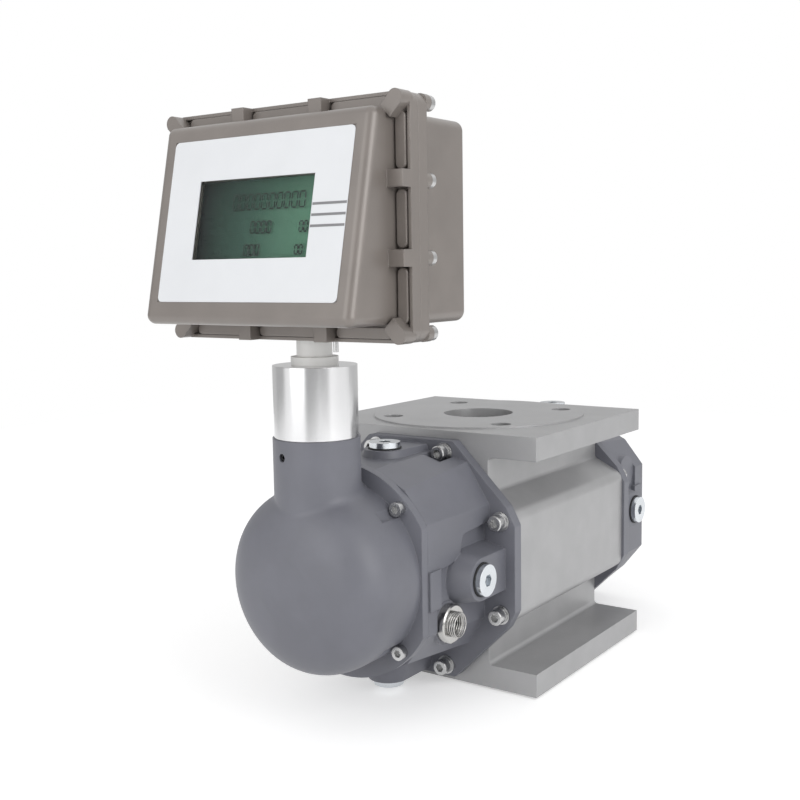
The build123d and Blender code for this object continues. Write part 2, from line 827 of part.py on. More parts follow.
# Pressure port: a plain-faced bush with an open thread
with BuildPart() as port_bush:
    seat = side_plane(-1, port_seat)
    for radius, amount in ((port_bush_radius, port_bush_height), (port_spigot_radius, -port_bush_spigot)):
        with BuildSketch(seat):
            with Locations((port_rise, port_reach)):
                Circle(radius)
        extrude(amount=amount)
    rim = port_bush.faces().sort_by(Axis.X)[-1].edges()
    chamfer(rim, 0.8)
    with BuildSketch(seat.offset(port_bush_height)):
        with Locations((port_rise, port_reach)):
            Circle(port_hole_radius)
    extrude(amount=-port_bush_height - port_bush_spigot, mode=Mode.SUBTRACT)
port_bush.part.label = "port_bush"
export_step(port_bush.part, "parts/port_bush.step")


def dome_profile(shrink):
    """Half section of the dome as reach and radius: a straight run and a squarish nose."""
    radius = dome_radius - shrink
    nose = dome_nose - shrink
    curve = []
    for step in range(7):
        turn = radians(15 * step)
        curve.append((
            dome_straight + nose * sin(turn) ** (2 / dome_squareness),
            radius * cos(turn) ** (2 / dome_squareness) if step < 6 else 0.0,
        ))
    return curve


def neck_foot(cover):
    """Edges where the neck meets the dome, in front of the web."""
    return [
        edge for edge in cover.edges()
        if edge.center().Y < -neck_reach + neck_radius / 2
        and dome_height + dome_radius / 2 < edge.center().Z < neck_web_top
        and edge.bounding_box().size.Z > 1.0
    ]


# Counter cover: flange with two flats, round dome, upright neck and its rear web
dome_side = Plane(origin=(0, 0, dome_height), x_dir=(0, -1, 0), z_dir=(-1, 0, 0))
dome_axis = Axis((0, 0, dome_height), (0, -1, 0))
with BuildPart() as counter_cover:
    with BuildSketch(end_plane(-1, front_cover_reach)):
        with Locations((0, drum_rise)):
            Circle(dome_flange_radius)
            Rectangle(2 * dome_flat, 2 * dome_flange_radius, mode=Mode.INTERSECT)
    extrude(amount=dome_flange)
    with BuildSketch(level(dome_height)):
        with Locations((0, -neck_reach)):
            Circle(neck_radius)
    extrude(amount=neck_top - dome_height)
    with BuildSketch(level(dome_height)):
        with Locations((0, -(neck_reach + front_cover_reach) / 2)):
            Rectangle(2 * neck_web_half, neck_reach - front_cover_reach)
    extrude(amount=neck_web_top - dome_height)
    for shrink, start in ((0.0, front_cover_reach), (dome_wall, front_cover_reach)):
        curve = dome_profile(shrink)
        with BuildSketch(dome_side):
            with BuildLine():
                Polyline((curve[-1][0], 0), (start, 0), (start, curve[0][1]), curve[0])
                Spline(*curve, tangents=((1, 0), (0, -1)))
            make_face()
        revolve(axis=dome_axis, mode=Mode.ADD if shrink == 0 else Mode.SUBTRACT)
        if shrink == 0:
            fillet(neck_foot(counter_cover), neck_blend)
    with BuildSketch(level(neck_top)):
        with Locations((0, -neck_reach)):
            Circle(neck_bore)
    extrude(amount=dome_height + dome_wall - neck_top, mode=Mode.SUBTRACT)
    # Pockets and holes for the four screws
    with BuildSketch(end_plane(-1, dome_face)):
        with Locations(*dome_screw_spots):
            Circle(dome_pocket_radius)
    extrude(amount=dome_straight - dome_face, mode=Mode.SUBTRACT)
    with BuildSketch(end_plane(-1, front_cover_reach)):
        with Locations(*dome_screw_spots):
            Circle(dome_screw_radius + slide_gap)
    extrude(amount=dome_flange, mode=Mode.SUBTRACT)
    # Hole for the grub screw that holds the tube
    with BuildSketch(Plane(origin=(0, -neck_reach, 0), x_dir=(1, 0, 0), z_dir=(0, -1, 0))):
        with Locations((grub_side, grub_height)):
            Circle(grub_hole_radius)
    extrude(amount=2 * neck_radius, mode=Mode.SUBTRACT)
counter_cover.part.label = "counter_cover"
export_step(counter_cover.part, "parts/counter_cover.step")


def can_spot(sketch_radius, cut_radius=0.0):
    """Round or ring shape on the axis of the magnet can, drawn in the open sketch."""
    with Locations((magnet_side, 0)):
        Circle(sketch_radius)
        if cut_radius > 0:
            Circle(cut_radius, mode=Mode.SUBTRACT)


# Magnetic coupling: a thin can closes the oil room, the driving cup turns around it
counter_face = front_cover_reach + can_flange_thick
can_end = counter_face - can_depth
with BuildPart() as magnet_can:
    with BuildSketch(end_plane(-1, front_cover_reach)):
        can_spot(can_flange_radius)
        with Locations(*can_screw_spots):
            Circle(small_screw_radius + slide_gap, mode=Mode.SUBTRACT)
    extrude(amount=can_flange_thick)
    with BuildSketch(end_plane(-1, counter_face)):
        can_spot(can_radius)
    extrude(amount=-can_depth)
    with BuildSketch(end_plane(-1, counter_face)):
        can_spot(can_radius - can_wall)
    extrude(amount=can_wall - can_depth, mode=Mode.SUBTRACT)
magnet_can.part.label = "magnet_can"
export_step(magnet_can.part, "parts/magnet_can.step")

cup_inner = can_radius + magnet_gap
cup_length = front_cover_reach - cover_wall - drive_cup_end_gap - drive_start
with BuildPart() as drive_magnet:
    with BuildSketch(end_plane(-1, drive_start)):
        can_spot(cup_inner + drive_cup_wall, gear_bore + press_gap)
    extrude(amount=cup_length)
    with BuildSketch(end_plane(-1, drive_start + drive_cup_floor)):
        can_spot(cup_inner)
    extrude(amount=cup_length, mode=Mode.SUBTRACT)
drive_magnet.part.label = "drive_magnet"
export_step(drive_magnet.part, "parts/drive_magnet.step")

follower_start = can_end + can_wall + follower_end_gap
with BuildPart() as follower_magnet:
    with BuildSketch(end_plane(-1, follower_start)):
        can_spot(follower_radius, spindle_radius + press_gap)
    extrude(amount=follower_length)
follower_magnet.part.label = "follower_magnet"
export_step(follower_magnet.part, "parts/follower_magnet.step")

with BuildPart() as counter_spindle:
    with BuildSketch(end_plane(-1, follower_start)):
        can_spot(spindle_radius)
    extrude(amount=frame_plate_reach + 2 * frame_plate_thick - follower_start)
counter_spindle.part.label = "counter_spindle"
export_step(counter_spindle.part, "parts/counter_spindle.step")

with BuildPart() as spindle_bush:
    with BuildSketch(end_plane(-1, counter_face)):
        can_spot(can_radius - can_wall - press_gap, spindle_radius + running_gap / 6)
    extrude(amount=-can_flange_thick - can_wall)
spindle_bush.part.label = "spindle_bush"
export_step(spindle_bush.part, "parts/spindle_bush.step")

with BuildPart() as pulse_disc:
    with BuildSketch(end_plane(-1, pulse_disc_reach - pulse_disc_thick / 2)):
        can_spot(pulse_disc_radius)
        with Locations((magnet_side, 0)):
            with PolarLocations(pulse_disc_radius - 3.5, pulse_slots):
                Rectangle(4.0, 3.0, mode=Mode.SUBTRACT)
    extrude(amount=pulse_disc_thick)
    with BuildSketch(end_plane(-1, pulse_disc_reach)):
        can_spot(2.5 * spindle_radius)
    extrude(amount=2 * pulse_disc_thick, both=True)
    with BuildSketch(end_plane(-1, pulse_disc_reach)):
        can_spot(spindle_radius + press_gap)
    extrude(amount=2 * pulse_disc_thick, both=True, mode=Mode.SUBTRACT)
pulse_disc.part.label = "pulse_disc"
export_step(pulse_disc.part, "parts/pulse_disc.step")

# Bridge over the pulse disc that carries the far end of the spindle
leg_middle = frame_half_height - frame_leg_thick / 2
with BuildPart() as counter_frame:
    with BuildSketch(side_plane(-1, magnet_side - frame_half_width)):
        with Locations((0, frame_plate_reach + frame_plate_thick / 2)):
            Rectangle(2 * frame_half_height, frame_plate_thick)
        for up in (-1, 1):
            with Locations((up * leg_middle, (front_cover_reach + frame_plate_reach) / 2)):
                Rectangle(frame_leg_thick, frame_plate_reach - front_cover_reach)
            with Locations((
                up * (frame_half_height + frame_foot / 2),
                front_cover_reach + can_flange_thick / 2,
            )):
                Rectangle(frame_foot, can_flange_thick)
    extrude(amount=2 * frame_half_width)
    with BuildSketch(end_plane(-1, front_cover_reach)):
        with Locations(*frame_screw_spots):
            Circle(small_screw_radius + slide_gap)
    extrude(amount=can_flange_thick, mode=Mode.SUBTRACT)
    with BuildSketch(end_plane(-1, frame_plate_reach)):
        can_spot(spindle_radius + running_gap / 6)
    extrude(amount=frame_plate_thick, mode=Mode.SUBTRACT)
counter_frame.part.label = "counter_frame"
export_step(counter_frame.part, "parts/counter_frame.step")

movement_screws = head_screws(
    end_plane(-1, counter_face), small_screw_spots, small_screw_radius,
    small_screw_length + can_flange_thick, small_head_radius, small_head_height,
    small_screw_radius * 0.8,
)
movement_screws.part.label = "movement_screws"
export_step(movement_screws.part, "parts/movement_screws.step")

# Forked pickup over the rim of the pulse disc, on the upper leg of the bridge
sensor_foot = frame_half_height - frame_leg_thick
sensor_tip = pulse_disc_radius - sensor_reach_in
with BuildPart() as pulse_sensor:
    with BuildSketch(side_plane(-1, magnet_side - sensor_width / 2)):
        with Locations(((sensor_foot + sensor_tip) / 2, pulse_disc_reach)):
            Rectangle(sensor_foot - sensor_tip, sensor_length)
        with Locations((sensor_tip, pulse_disc_reach)):
            Rectangle(2 * (sensor_reach_in + 1.0), sensor_slot, mode=Mode.SUBTRACT)
    extrude(amount=sensor_width)
pulse_sensor.part.label = "pulse_sensor"
export_step(pulse_sensor.part, "parts/pulse_sensor.step")

# Seal of the counter cover and its screws
with BuildPart() as counter_cover_seal:
    with BuildSketch(end_plane(-1, front_cover_reach)):
        with Locations((0, drum_rise)):
            Circle(dome_radius - dome_wall + seal_margin + seal_width)
            Circle(dome_radius - dome_wall + seal_margin, mode=Mode.SUBTRACT)
    extrude(amount=-seal_depth)
counter_cover_seal.part.label = "counter_cover_seal"
export_step(counter_cover_seal.part, "parts/counter_cover_seal.step")

counter_cover_screws = head_screws(
    end_plane(-1, dome_face), dome_screw_spots, dome_screw_radius, dome_flange + dome_screw_depth,
    dome_head_radius, dome_head_height, dome_screw_radius,
)
counter_cover_screws.part.label = "counter_cover_screws"
export_step(counter_cover_screws.part, "parts/counter_cover_screws.step")

# Tube that turns in the neck, with a groove for the grub screw
tube_foot = neck_top + slide_gap
with BuildPart() as display_tube:
    for low, high, radius in (
        (tube_foot, tube_top, tube_radius),
        (neck_top - tube_spigot_length, tube_foot, tube_spigot),
    ):
        with BuildSketch(level(low)):
            with Locations((0, -neck_reach)):
                Circle(radius)
        extrude(amount=high - low)
    with BuildSketch(level(neck_top - tube_spigot_length)):
        with Locations((0, -neck_reach)):
            Circle(tube_bore)
    extrude(amount=tube_top - tube_cap_thick - neck_top + tube_spigot_length, mode=Mode.SUBTRACT)
    with BuildSketch(level(tube_top)):
        with Locations((0, -neck_reach)):
            Circle(nipple_radius + press_gap)
    extrude(amount=-tube_cap_thick, mode=Mode.SUBTRACT)
    with BuildSketch(level(grub_height - groove_width / 2)):
        with Locations((0, -neck_reach)):
            Circle(tube_spigot)
            Circle(tube_spigot - groove_depth, mode=Mode.SUBTRACT)
    extrude(amount=groove_width, mode=Mode.SUBTRACT)
display_tube.part.label = "display_tube"
export_step(display_tube.part, "parts/display_tube.step")

groove_floor = sqrt((tube_spigot - groove_depth) ** 2 - (abs(grub_side) - grub_radius) ** 2)
with BuildPart() as neck_grub_screw:
    grub_seat = Plane(
        origin=(0, -neck_reach - groove_floor - running_gap, 0), x_dir=(1, 0, 0), z_dir=(0, -1, 0)
    )
    with BuildSketch(grub_seat):
        with Locations((grub_side, grub_height)):
            Circle(grub_radius - press_gap)
    extrude(amount=grub_length)
    with BuildSketch(grub_seat.offset(grub_length)):
        with Locations((grub_side, grub_height)):
            RegularPolygon(grub_radius / 2, 6)
    extrude(amount=-grub_length / 2, mode=Mode.SUBTRACT)
neck_grub_screw.part.label = "neck_grub_screw"
export_step(neck_grub_screw.part, "parts/neck_grub_screw.step")

# Nipple between the tube and the box, with its lock nut inside the box
with BuildPart() as box_nipple:
    for low, high, radius in (
        (tube_top - tube_cap_thick, nipple_end, nipple_radius),
        (tube_top, tube_top + nipple_collar_height, nipple_collar),
    ):
        with BuildSketch(level(low)):
            with Locations((0, -neck_reach)):
                Circle(radius)
        extrude(amount=high - low)
    with BuildSketch(level(tube_top - tube_cap_thick)):
        with Locations((0, -neck_reach)):
            Circle(nipple_bore)
    extrude(amount=nipple_end - tube_top + tube_cap_thick, mode=Mode.SUBTRACT)
box_nipple.part.label = "box_nipple"
export_step(box_nipple.part, "parts/box_nipple.step")

with BuildPart() as nipple_nut:
    with BuildSketch(level(box_floor)):
        with Locations((0, -neck_reach)):
            RegularPolygon(nipple_nut_across / 2, 6, major_radius=False)
            Circle(nipple_radius + press_gap, mode=Mode.SUBTRACT)
    extrude(amount=nipple_nut_height)
nipple_nut.part.label = "nipple_nut"
export_step(nipple_nut.part, "parts/nipple_nut.step")


def box_plane(reach):
    """Plane facing the viewer, centred on the display box."""
    return Plane(origin=(0, -reach, box_height), x_dir=(1, 0, 0), z_dir=(0, -1, 0))


def gasket_ring():
    """Ring around the opening of the box, drawn in the open sketch."""
    width = rear_half_width - box_wall + gasket_inset
    height = rear_half_height - gasket_width + gasket_inset
    RectangleRounded(2 * (width + gasket_width), 2 * (height + gasket_width), 3.0 + gasket_width)
    RectangleRounded(2 * width, 2 * height, 3.0, mode=Mode.SUBTRACT)


box_bottom = box_height - box_half_height
bolt_x = box_half_width - box_bolt_inset
bolt_z = box_half_height - box_bolt_inset
side_bolts = four_spots((bolt_x, box_bolt_rise))
level_bolts = four_spots((box_bolt_side, bolt_z))
corner_bolts = four_spots((bolt_x, bolt_z))
box_bolt_spots = side_bolts + level_bolts + corner_bolts
rear_seat = parting_reach - rear_flange - rear_pad

# Rear half of the display box
with BuildPart() as box_housing:
    with BuildSketch(box_plane(rear_back)):
        RectangleRounded(2 * rear_half_width, 2 * rear_half_height, box_round)
    extrude(amount=parting_reach - rear_flange - rear_back)
    fillet(box_housing.faces().sort_by(Axis.Y)[-1].edges(), box_round / 2)
    with BuildSketch(box_plane(parting_reach)):
        RectangleRounded(2 * box_half_width, 2 * box_half_height, box_corner)
    extrude(amount=-rear_flange)
    with BuildSketch(box_plane(parting_reach - rear_flange)):
        with Locations(*box_bolt_spots):
            Circle(bolt_pad_half)
    extrude(amount=-rear_pad)
    with BuildSketch(level(box_bottom)):
        with Locations((0, -neck_reach)):
            Circle(boss_radius)
        with Locations((0, -parting_reach + boss_radius * 2)):
            Rectangle(4 * boss_radius, 4 * boss_radius, mode=Mode.INTERSECT)
    extrude(amount=box_floor - box_bottom)
    with BuildSketch(box_plane(parting_reach)):
        RectangleRounded(
            2 * (rear_half_width - box_wall), 2 * (rear_half_height - box_wall), 3.0
        )
    extrude(amount=rear_back + box_wall - parting_reach, mode=Mode.SUBTRACT)
    with BuildSketch(level(box_bottom)):
        with Locations((0, -neck_reach)):
            Circle(nipple_radius + press_gap)
    extrude(amount=box_floor - box_bottom, mode=Mode.SUBTRACT)
    with BuildSketch(box_plane(parting_reach)):
        gasket_ring()
    extrude(amount=-gasket_thick, mode=Mode.SUBTRACT)
    with BuildSketch(box_plane(parting_reach)):
        with Locations(*box_bolt_spots):
            Circle(box_bolt_radius + slide_gap)
    extrude(amount=-rear_flange - rear_pad, mode=Mode.SUBTRACT)
    with BuildSketch(level(box_bottom)):
        with Locations(seal_screw_spot):
            Circle(seal_screw_radius + press_gap)
    extrude(amount=seal_screw_grip, mode=Mode.SUBTRACT)
    # Posts for the terminal board
    with BuildSketch(box_plane(rear_back + box_wall)):
        with Locations((0, terminal_board_centre - box_height)):
            with GridLocations(
                terminal_board_width - 2 * post_inset, terminal_board_height - 2 * post_inset, 2, 2
            ):
                Circle(post_radius)
    extrude(amount=post_length)
box_housing.part.label = "box_housing"
export_step(box_housing.part, "parts/box_housing.step")

with BuildPart() as box_gasket:
    with BuildSketch(box_plane(parting_reach)):
        gasket_ring()
    extrude(amount=-gasket_thick)
box_gasket.part.label = "box_gasket"
export_step(box_gasket.part, "parts/box_gasket.step")

# Lid with a face that leans back towards the top
face = Plane(
    origin=(0, -label_reach, label_centre), x_dir=(1, 0, 0), z_dir=(0, -cos(face_tilt), sin(face_tilt))
)
lid_profile = Plane(origin=(0, 0, 0), x_dir=(0, -1, 0), z_dir=(-1, 0, 0))


def lid_section(inset, start):
    """Side view of the lid as reach and height, drawn inwards by a wall."""
    top = lid_centre + lid_half_height - inset
    bottom = lid_centre - lid_half_height + inset
    back = inset / cos(face_tilt)
    return (
        (start, top),
        (face_top_reach + face_slope * inset - back, top),
        (face_bottom_reach - face_slope * inset - back, bottom),
        (start, bottom),
    )


board_spots = four_spots((board_width / 2 - post_inset, board_height / 2 - post_inset))
with BuildPart() as box_lid:
    with BuildSketch(lid_profile):
        Polygon(*lid_section(0.0, parting_reach + lid_flange - lid_recess), align=None)
    extrude(amount=lid_half_width, both=True)
    front_face = box_lid.faces().sort_by(Axis.Y)[0]
    fillet(front_face.edges() + box_lid.edges().filter_by(Axis.Y), lid_round)
    with BuildSketch(box_plane(parting_reach)):
        RectangleRounded(2 * box_half_width, 2 * box_half_height, box_corner)
    extrude(amount=lid_flange - lid_recess)
    with BuildSketch(box_plane(parting_reach + lid_flange - lid_recess)):
        RectangleRounded(2 * box_half_width, 2 * box_half_height, box_corner)
        RectangleRounded(
            2 * (box_half_width - lid_rim), 2 * (box_half_height - lid_rim),
            box_corner - lid_rim, mode=Mode.SUBTRACT,
        )
    extrude(amount=lid_recess)
    # Bolt pads between the lid's sides and the rim
    with BuildSketch(box_plane(parting_reach + lid_flange - lid_recess)):
        with Locations(*side_bolts):
            Rectangle(2 * box_bolt_inset, 2 * bolt_pad_half)
        with Locations(*[(x - (1 if x > 0 else -1) * bolt_pad_half, z) for x, z in side_bolts]):
            Rectangle(2 * bolt_pad_half, 2 * bolt_pad_half)
        with Locations(*level_bolts):
            Rectangle(2 * bolt_pad_half, 2 * box_bolt_inset)
        with Locations(*corner_bolts):
            Circle(box_bolt_inset)
        for x, z in corner_bolts:
            with Locations(Location((x * 0.965, z * 0.953, 0), (0, 0, 45 if x * z > 0 else -45))):
                Rectangle(2.2 * bolt_pad_half, 2 * bolt_pad_half)
    extrude(amount=bolt_pad_reach - parting_reach - lid_flange + lid_recess)
    # Hollow inside
    with BuildSketch(lid_profile):
        Polygon(*lid_section(lid_wall, parting_reach), align=None)
    extrude(amount=lid_half_width - lid_wall, both=True, mode=Mode.SUBTRACT)
    # Recess for the label, rebate for the pane, opening for the display
    for width, height, depth in (
        (label_width + 2 * slide_gap, label_height + 2 * slide_gap, label_thick),
        (
            window_width + 2 * (pane_margin + slide_gap),
            window_height + 2 * (pane_margin + slide_gap),
            label_thick + pane_thick,
        ),
        (window_width, window_height, 2 * lid_wall),
    ):
        with BuildSketch(face):
            Rectangle(width, height)
        extrude(amount=-depth, mode=Mode.SUBTRACT)
    with BuildSketch(face.offset(-lid_wall)):
        with Locations(*board_spots):
            Circle(post_radius)
    extrude(amount=-lcd_thick)
    with BuildSketch(face.offset(-lid_wall - lcd_thick)):
        with Locations(*board_spots):
            Circle(small_screw_radius + press_gap)
    extrude(amount=small_screw_length, mode=Mode.SUBTRACT)
    with BuildSketch(box_plane(parting_reach)):
        with Locations(*box_bolt_spots):
            Circle(box_bolt_radius + press_gap)
    extrude(amount=bolt_pad_reach - parting_reach - 3.0, mode=Mode.SUBTRACT)
box_lid.part.label = "box_lid"
export_step(box_lid.part, "parts/box_lid.step")

box_bolts = head_screws(
    Plane(origin=(0, -rear_seat, box_height), x_dir=(1, 0, 0), z_dir=(0, 1, 0)), box_bolt_spots,
    box_bolt_radius, bolt_pad_reach - 4.0 - rear_seat, box_bolt_head_radius,
    box_bolt_head_height, box_bolt_radius,
)
box_bolts.part.label = "box_bolts"
export_step(box_bolts.part, "parts/box_bolts.step")

with BuildPart() as seal_screw:
    with BuildSketch(level(box_bottom - seal_screw_drop)):
        with Locations(seal_screw_spot):
            Circle(seal_screw_radius)
    extrude(amount=seal_screw_drop + seal_screw_grip)
seal_screw.part.label = "seal_screw"
export_step(seal_screw.part, "parts/seal_screw.step")

# Label plate, window pane, display module and its board
with BuildPart() as label_plate:
    with BuildSketch(face):
        RectangleRounded(label_width, label_height, label_corner)
        Rectangle(window_width, window_height, mode=Mode.SUBTRACT)
    extrude(amount=-label_thick)
label_plate.part.label = "label_plate"
export_step(label_plate.part, "parts/label_plate.step")

with BuildPart() as window_pane:
    with BuildSketch(face.offset(-label_thick)):
        Rectangle(window_width + 2 * pane_margin, window_height + 2 * pane_margin)
    extrude(amount=-pane_thick)
window_pane.part.label = "window_pane"
export_step(window_pane.part, "parts/window_pane.step")

with BuildPart() as display_module:
    with BuildSketch(face.offset(-lid_wall)):
        Rectangle(window_width + 2 * lcd_margin, window_height + 2 * lcd_margin)
    extrude(amount=-lcd_thick)
display_module.part.label = "display_module"
export_step(display_module.part, "parts/display_module.step")

board_back = face.offset(-lid_wall - lcd_thick)
with BuildPart() as main_board:
    with BuildSketch(board_back):
        Rectangle(board_width, board_height)
        with Locations(*board_spots):
            Circle(small_screw_radius + slide_gap, mode=Mode.SUBTRACT)
    extrude(amount=-board_thick)
    with BuildSketch(board_back.offset(-board_thick)):
        with Locations((-24.0, 8.0)):
            Rectangle(16.0, 16.0)
        with Locations((18.0, 14.0), (18.0, -4.0)):
            Rectangle(12.0, 8.0)
        with Locations((0.0, -30.0)):
            Rectangle(*board_plug)
    extrude(amount=-3 * board_thick)
main_board.part.label = "main_board"
export_step(main_board.part, "parts/main_board.step")

board_screws = head_screws(
    Plane(
        origin=board_back.offset(-board_thick).origin, x_dir=(1, 0, 0),
        z_dir=(0, cos(face_tilt), -sin(face_tilt)),
    ),
    board_spots, small_screw_radius, small_screw_length + board_thick,
    small_head_radius, small_head_height, small_screw_radius * 0.8,
)
board_screws.part.label = "board_screws"
export_step(board_screws.part, "parts/board_screws.step")

# Terminal board on posts at the back of the box
terminal_face = box_plane(rear_back + box_wall + post_length)
terminal_spot = (0, terminal_board_centre - box_height)
with BuildPart() as terminal_board:
    with BuildSketch(terminal_face):
        with Locations(terminal_spot):
            Rectangle(terminal_board_width, terminal_board_height)
    extrude(amount=board_thick)
terminal_board.part.label = "terminal_board"
export_step(terminal_board.part, "parts/terminal_board.step")

pole_pitch = terminal_width / terminal_poles
with BuildPart() as terminal_block:
    with BuildSketch(terminal_face.offset(board_thick)):
        with Locations(terminal_spot):
            Rectangle(terminal_width, terminal_height)
    extrude(amount=terminal_depth)
    with BuildSketch(terminal_face.offset(board_thick + terminal_depth)):
        with Locations(terminal_spot):
            with GridLocations(pole_pitch, 0, terminal_poles, 1):
                Rectangle(pole_pitch * 0.7, terminal_height * 0.5)
    extrude(amount=-terminal_depth / 2, mode=Mode.SUBTRACT)
terminal_block.part.label = "terminal_block"
export_step(terminal_block.part, "parts/terminal_block.step")

# Two lithium cells in a tray above the terminals
tray_face = box_plane(rear_back + box_wall)
cell_spot = (0, cell_centre - box_height)
with BuildPart() as battery_tray:
    with BuildSketch(tray_face):
        with Locations(cell_spot):
            Rectangle(2 * (cell_length + holder_thick + slide_gap), 2 * cell_radius)
    extrude(amount=holder_thick + cell_radius)
    with BuildSketch(tray_face.offset(holder_thick)):
        with Locations(cell_spot):
            Rectangle(2 * (cell_length + slide_gap), 2 * cell_radius)
    extrude(amount=cell_radius, mode=Mode.SUBTRACT)
battery_tray.part.label = "battery_tray"
export_step(battery_tray.part, "parts/battery_tray.step")

cell_axis = rear_back + box_wall + holder_thick + cell_radius
with BuildPart() as battery_cells:
    for start in (-cell_length, slide_gap / 2):
        with BuildSketch(Plane(origin=(start, -cell_axis, cell_centre), x_dir=(0, 1, 0), z_dir=(1, 0, 0))):
            Circle(cell_radius)
        extrude(amount=cell_length - slide_gap / 2)
battery_cells.part.label = "battery_cells"
export_step(battery_cells.part, "parts/battery_cells.step")
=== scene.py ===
# Roots flow meter with a turning display head: finishes, small fasteners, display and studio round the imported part
import bmesh
import bpy
from math import atan2, cos, pi, radians, sin
from mathutils import Matrix, Vector


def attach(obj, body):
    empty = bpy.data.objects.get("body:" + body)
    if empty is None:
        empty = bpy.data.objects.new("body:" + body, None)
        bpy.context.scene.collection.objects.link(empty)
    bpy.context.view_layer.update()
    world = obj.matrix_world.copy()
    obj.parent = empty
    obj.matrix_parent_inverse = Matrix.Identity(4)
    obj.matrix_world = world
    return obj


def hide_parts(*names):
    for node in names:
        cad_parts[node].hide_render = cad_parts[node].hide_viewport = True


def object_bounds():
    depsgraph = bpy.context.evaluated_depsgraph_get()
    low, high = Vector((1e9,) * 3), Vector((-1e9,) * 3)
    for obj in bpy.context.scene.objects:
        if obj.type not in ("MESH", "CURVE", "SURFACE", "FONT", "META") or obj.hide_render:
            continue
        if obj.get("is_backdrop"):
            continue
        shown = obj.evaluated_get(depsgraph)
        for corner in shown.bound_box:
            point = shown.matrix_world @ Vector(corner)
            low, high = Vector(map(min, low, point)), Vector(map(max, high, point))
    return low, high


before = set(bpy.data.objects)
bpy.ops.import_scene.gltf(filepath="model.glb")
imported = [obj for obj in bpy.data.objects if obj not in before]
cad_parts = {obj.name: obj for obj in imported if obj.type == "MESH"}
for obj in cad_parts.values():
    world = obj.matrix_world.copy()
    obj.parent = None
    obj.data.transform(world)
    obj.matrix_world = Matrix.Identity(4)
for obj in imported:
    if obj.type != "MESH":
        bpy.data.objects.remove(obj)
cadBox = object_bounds()
mm = 0.001


# Adds a node, links what is a socket and sets what is a value
def put(tree, kind, inputs=None, **settings):
    node = tree.nodes.new(kind)
    for key, value in settings.items():
        setattr(node, key, value)
    for key, value in (inputs or {}).items():
        if isinstance(value, bpy.types.NodeSocket):
            tree.links.new(value, node.inputs[key])
        else:
            node.inputs[key].default_value = value
    return node


def maths(tree, operation, *values):
    return put(tree, "ShaderNodeMath", dict(enumerate(values)), operation=operation).outputs[0]


def remap(tree, value, low, high, toLow, toHigh):
    limits = {"Value": value, "From Min": low, "From Max": high, "To Min": toLow, "To Max": toHigh}
    return put(tree, "ShaderNodeMapRange", limits).outputs[0]


def blendColour(tree, factor, first, second, mode="MIX"):
    mix = put(tree, "ShaderNodeMix", data_type="RGBA", blend_type=mode)
    for index, value in ((0, factor), (6, first), (7, second)):
        if isinstance(value, bpy.types.NodeSocket):
            tree.links.new(value, mix.inputs[index])
        else:
            mix.inputs[index].default_value = value
    return mix.outputs[2]


def newGroup(name, kind, inputs, outputs):
    tree = bpy.data.node_groups.new(name, kind)
    for label, (socketType, value) in inputs.items():
        socket = tree.interface.new_socket(label, in_out="INPUT", socket_type=socketType)
        if value is not None:
            socket.default_value = value
    for label, socketType in outputs.items():
        tree.interface.new_socket(label, in_out="OUTPUT", socket_type=socketType)
    return tree, tree.nodes.new("NodeGroupInput").outputs, tree.nodes.new("NodeGroupOutput").inputs


def colour(red, green, blue):
    linear = [((c / 255 + 0.055) / 1.055) ** 2.4 for c in (red, green, blue)]
    return (*linear, 1)


# Rounded edges seen in the light, and a mask of where handling has rubbed them
edgeWear = dict(samples=6, detail=3.0, starts=0.995, full=0.86, patchLow=0.38, patchHigh=0.62, least=0.15)
softEdge, given, out = newGroup(
    "softEdge",
    "ShaderNodeTree",
    {"Radius": ("NodeSocketFloat", 0.5 * mm), "Patch Size": ("NodeSocketFloat", 8 * mm)},
    {"Normal": "NodeSocketVector", "Wear": "NodeSocketFloat"},
)
rounded = put(softEdge, "ShaderNodeBevel", {"Radius": given["Radius"]}, samples=edgeWear["samples"])
flat = put(softEdge, "ShaderNodeNewGeometry")
turnedAway = put(
    softEdge, "ShaderNodeVectorMath", {0: rounded.outputs[0], 1: flat.outputs["Normal"]}, operation="DOT_PRODUCT"
)
place = put(softEdge, "ShaderNodeTexCoord").outputs["Object"]
patches = put(
    softEdge,
    "ShaderNodeTexNoise",
    {"Vector": place, "Scale": maths(softEdge, "DIVIDE", 1.0, given["Patch Size"]), "Detail": edgeWear["detail"]},
).outputs[0]
rubbed = remap(softEdge, turnedAway.outputs["Value"], edgeWear["starts"], edgeWear["full"], 0.0, 1.0)
broken = remap(softEdge, patches, edgeWear["patchLow"], edgeWear["patchHigh"], edgeWear["least"], 1.0)
softEdge.links.new(rounded.outputs[0], out["Normal"])
softEdge.links.new(maths(softEdge, "MULTIPLY", rubbed, broken), out["Wear"])

# Fine grain as height, and slow changes of tone
surfaceGrain, given, out = newGroup(
    "surfaceGrain",
    "ShaderNodeTree",
    {"Grain Size": ("NodeSocketFloat", 0.5 * mm), "Tone Size": ("NodeSocketFloat", 25 * mm)},
    {"Height": "NodeSocketFloat", "Tone": "NodeSocketFloat"},
)
place = put(surfaceGrain, "ShaderNodeTexCoord").outputs["Object"]
fine = put(
    surfaceGrain,
    "ShaderNodeTexNoise",
    {"Vector": place, "Scale": maths(surfaceGrain, "DIVIDE", 1.0, given["Grain Size"]), "Detail": 2.0},
).outputs[0]
slow = put(
    surfaceGrain,
    "ShaderNodeTexNoise",
    {"Vector": place, "Scale": maths(surfaceGrain, "DIVIDE", 1.0, given["Tone Size"]), "Detail": 4.0},
).outputs[0]
surfaceGrain.links.new(fine, out["Height"])
surfaceGrain.links.new(slow, out["Tone"])

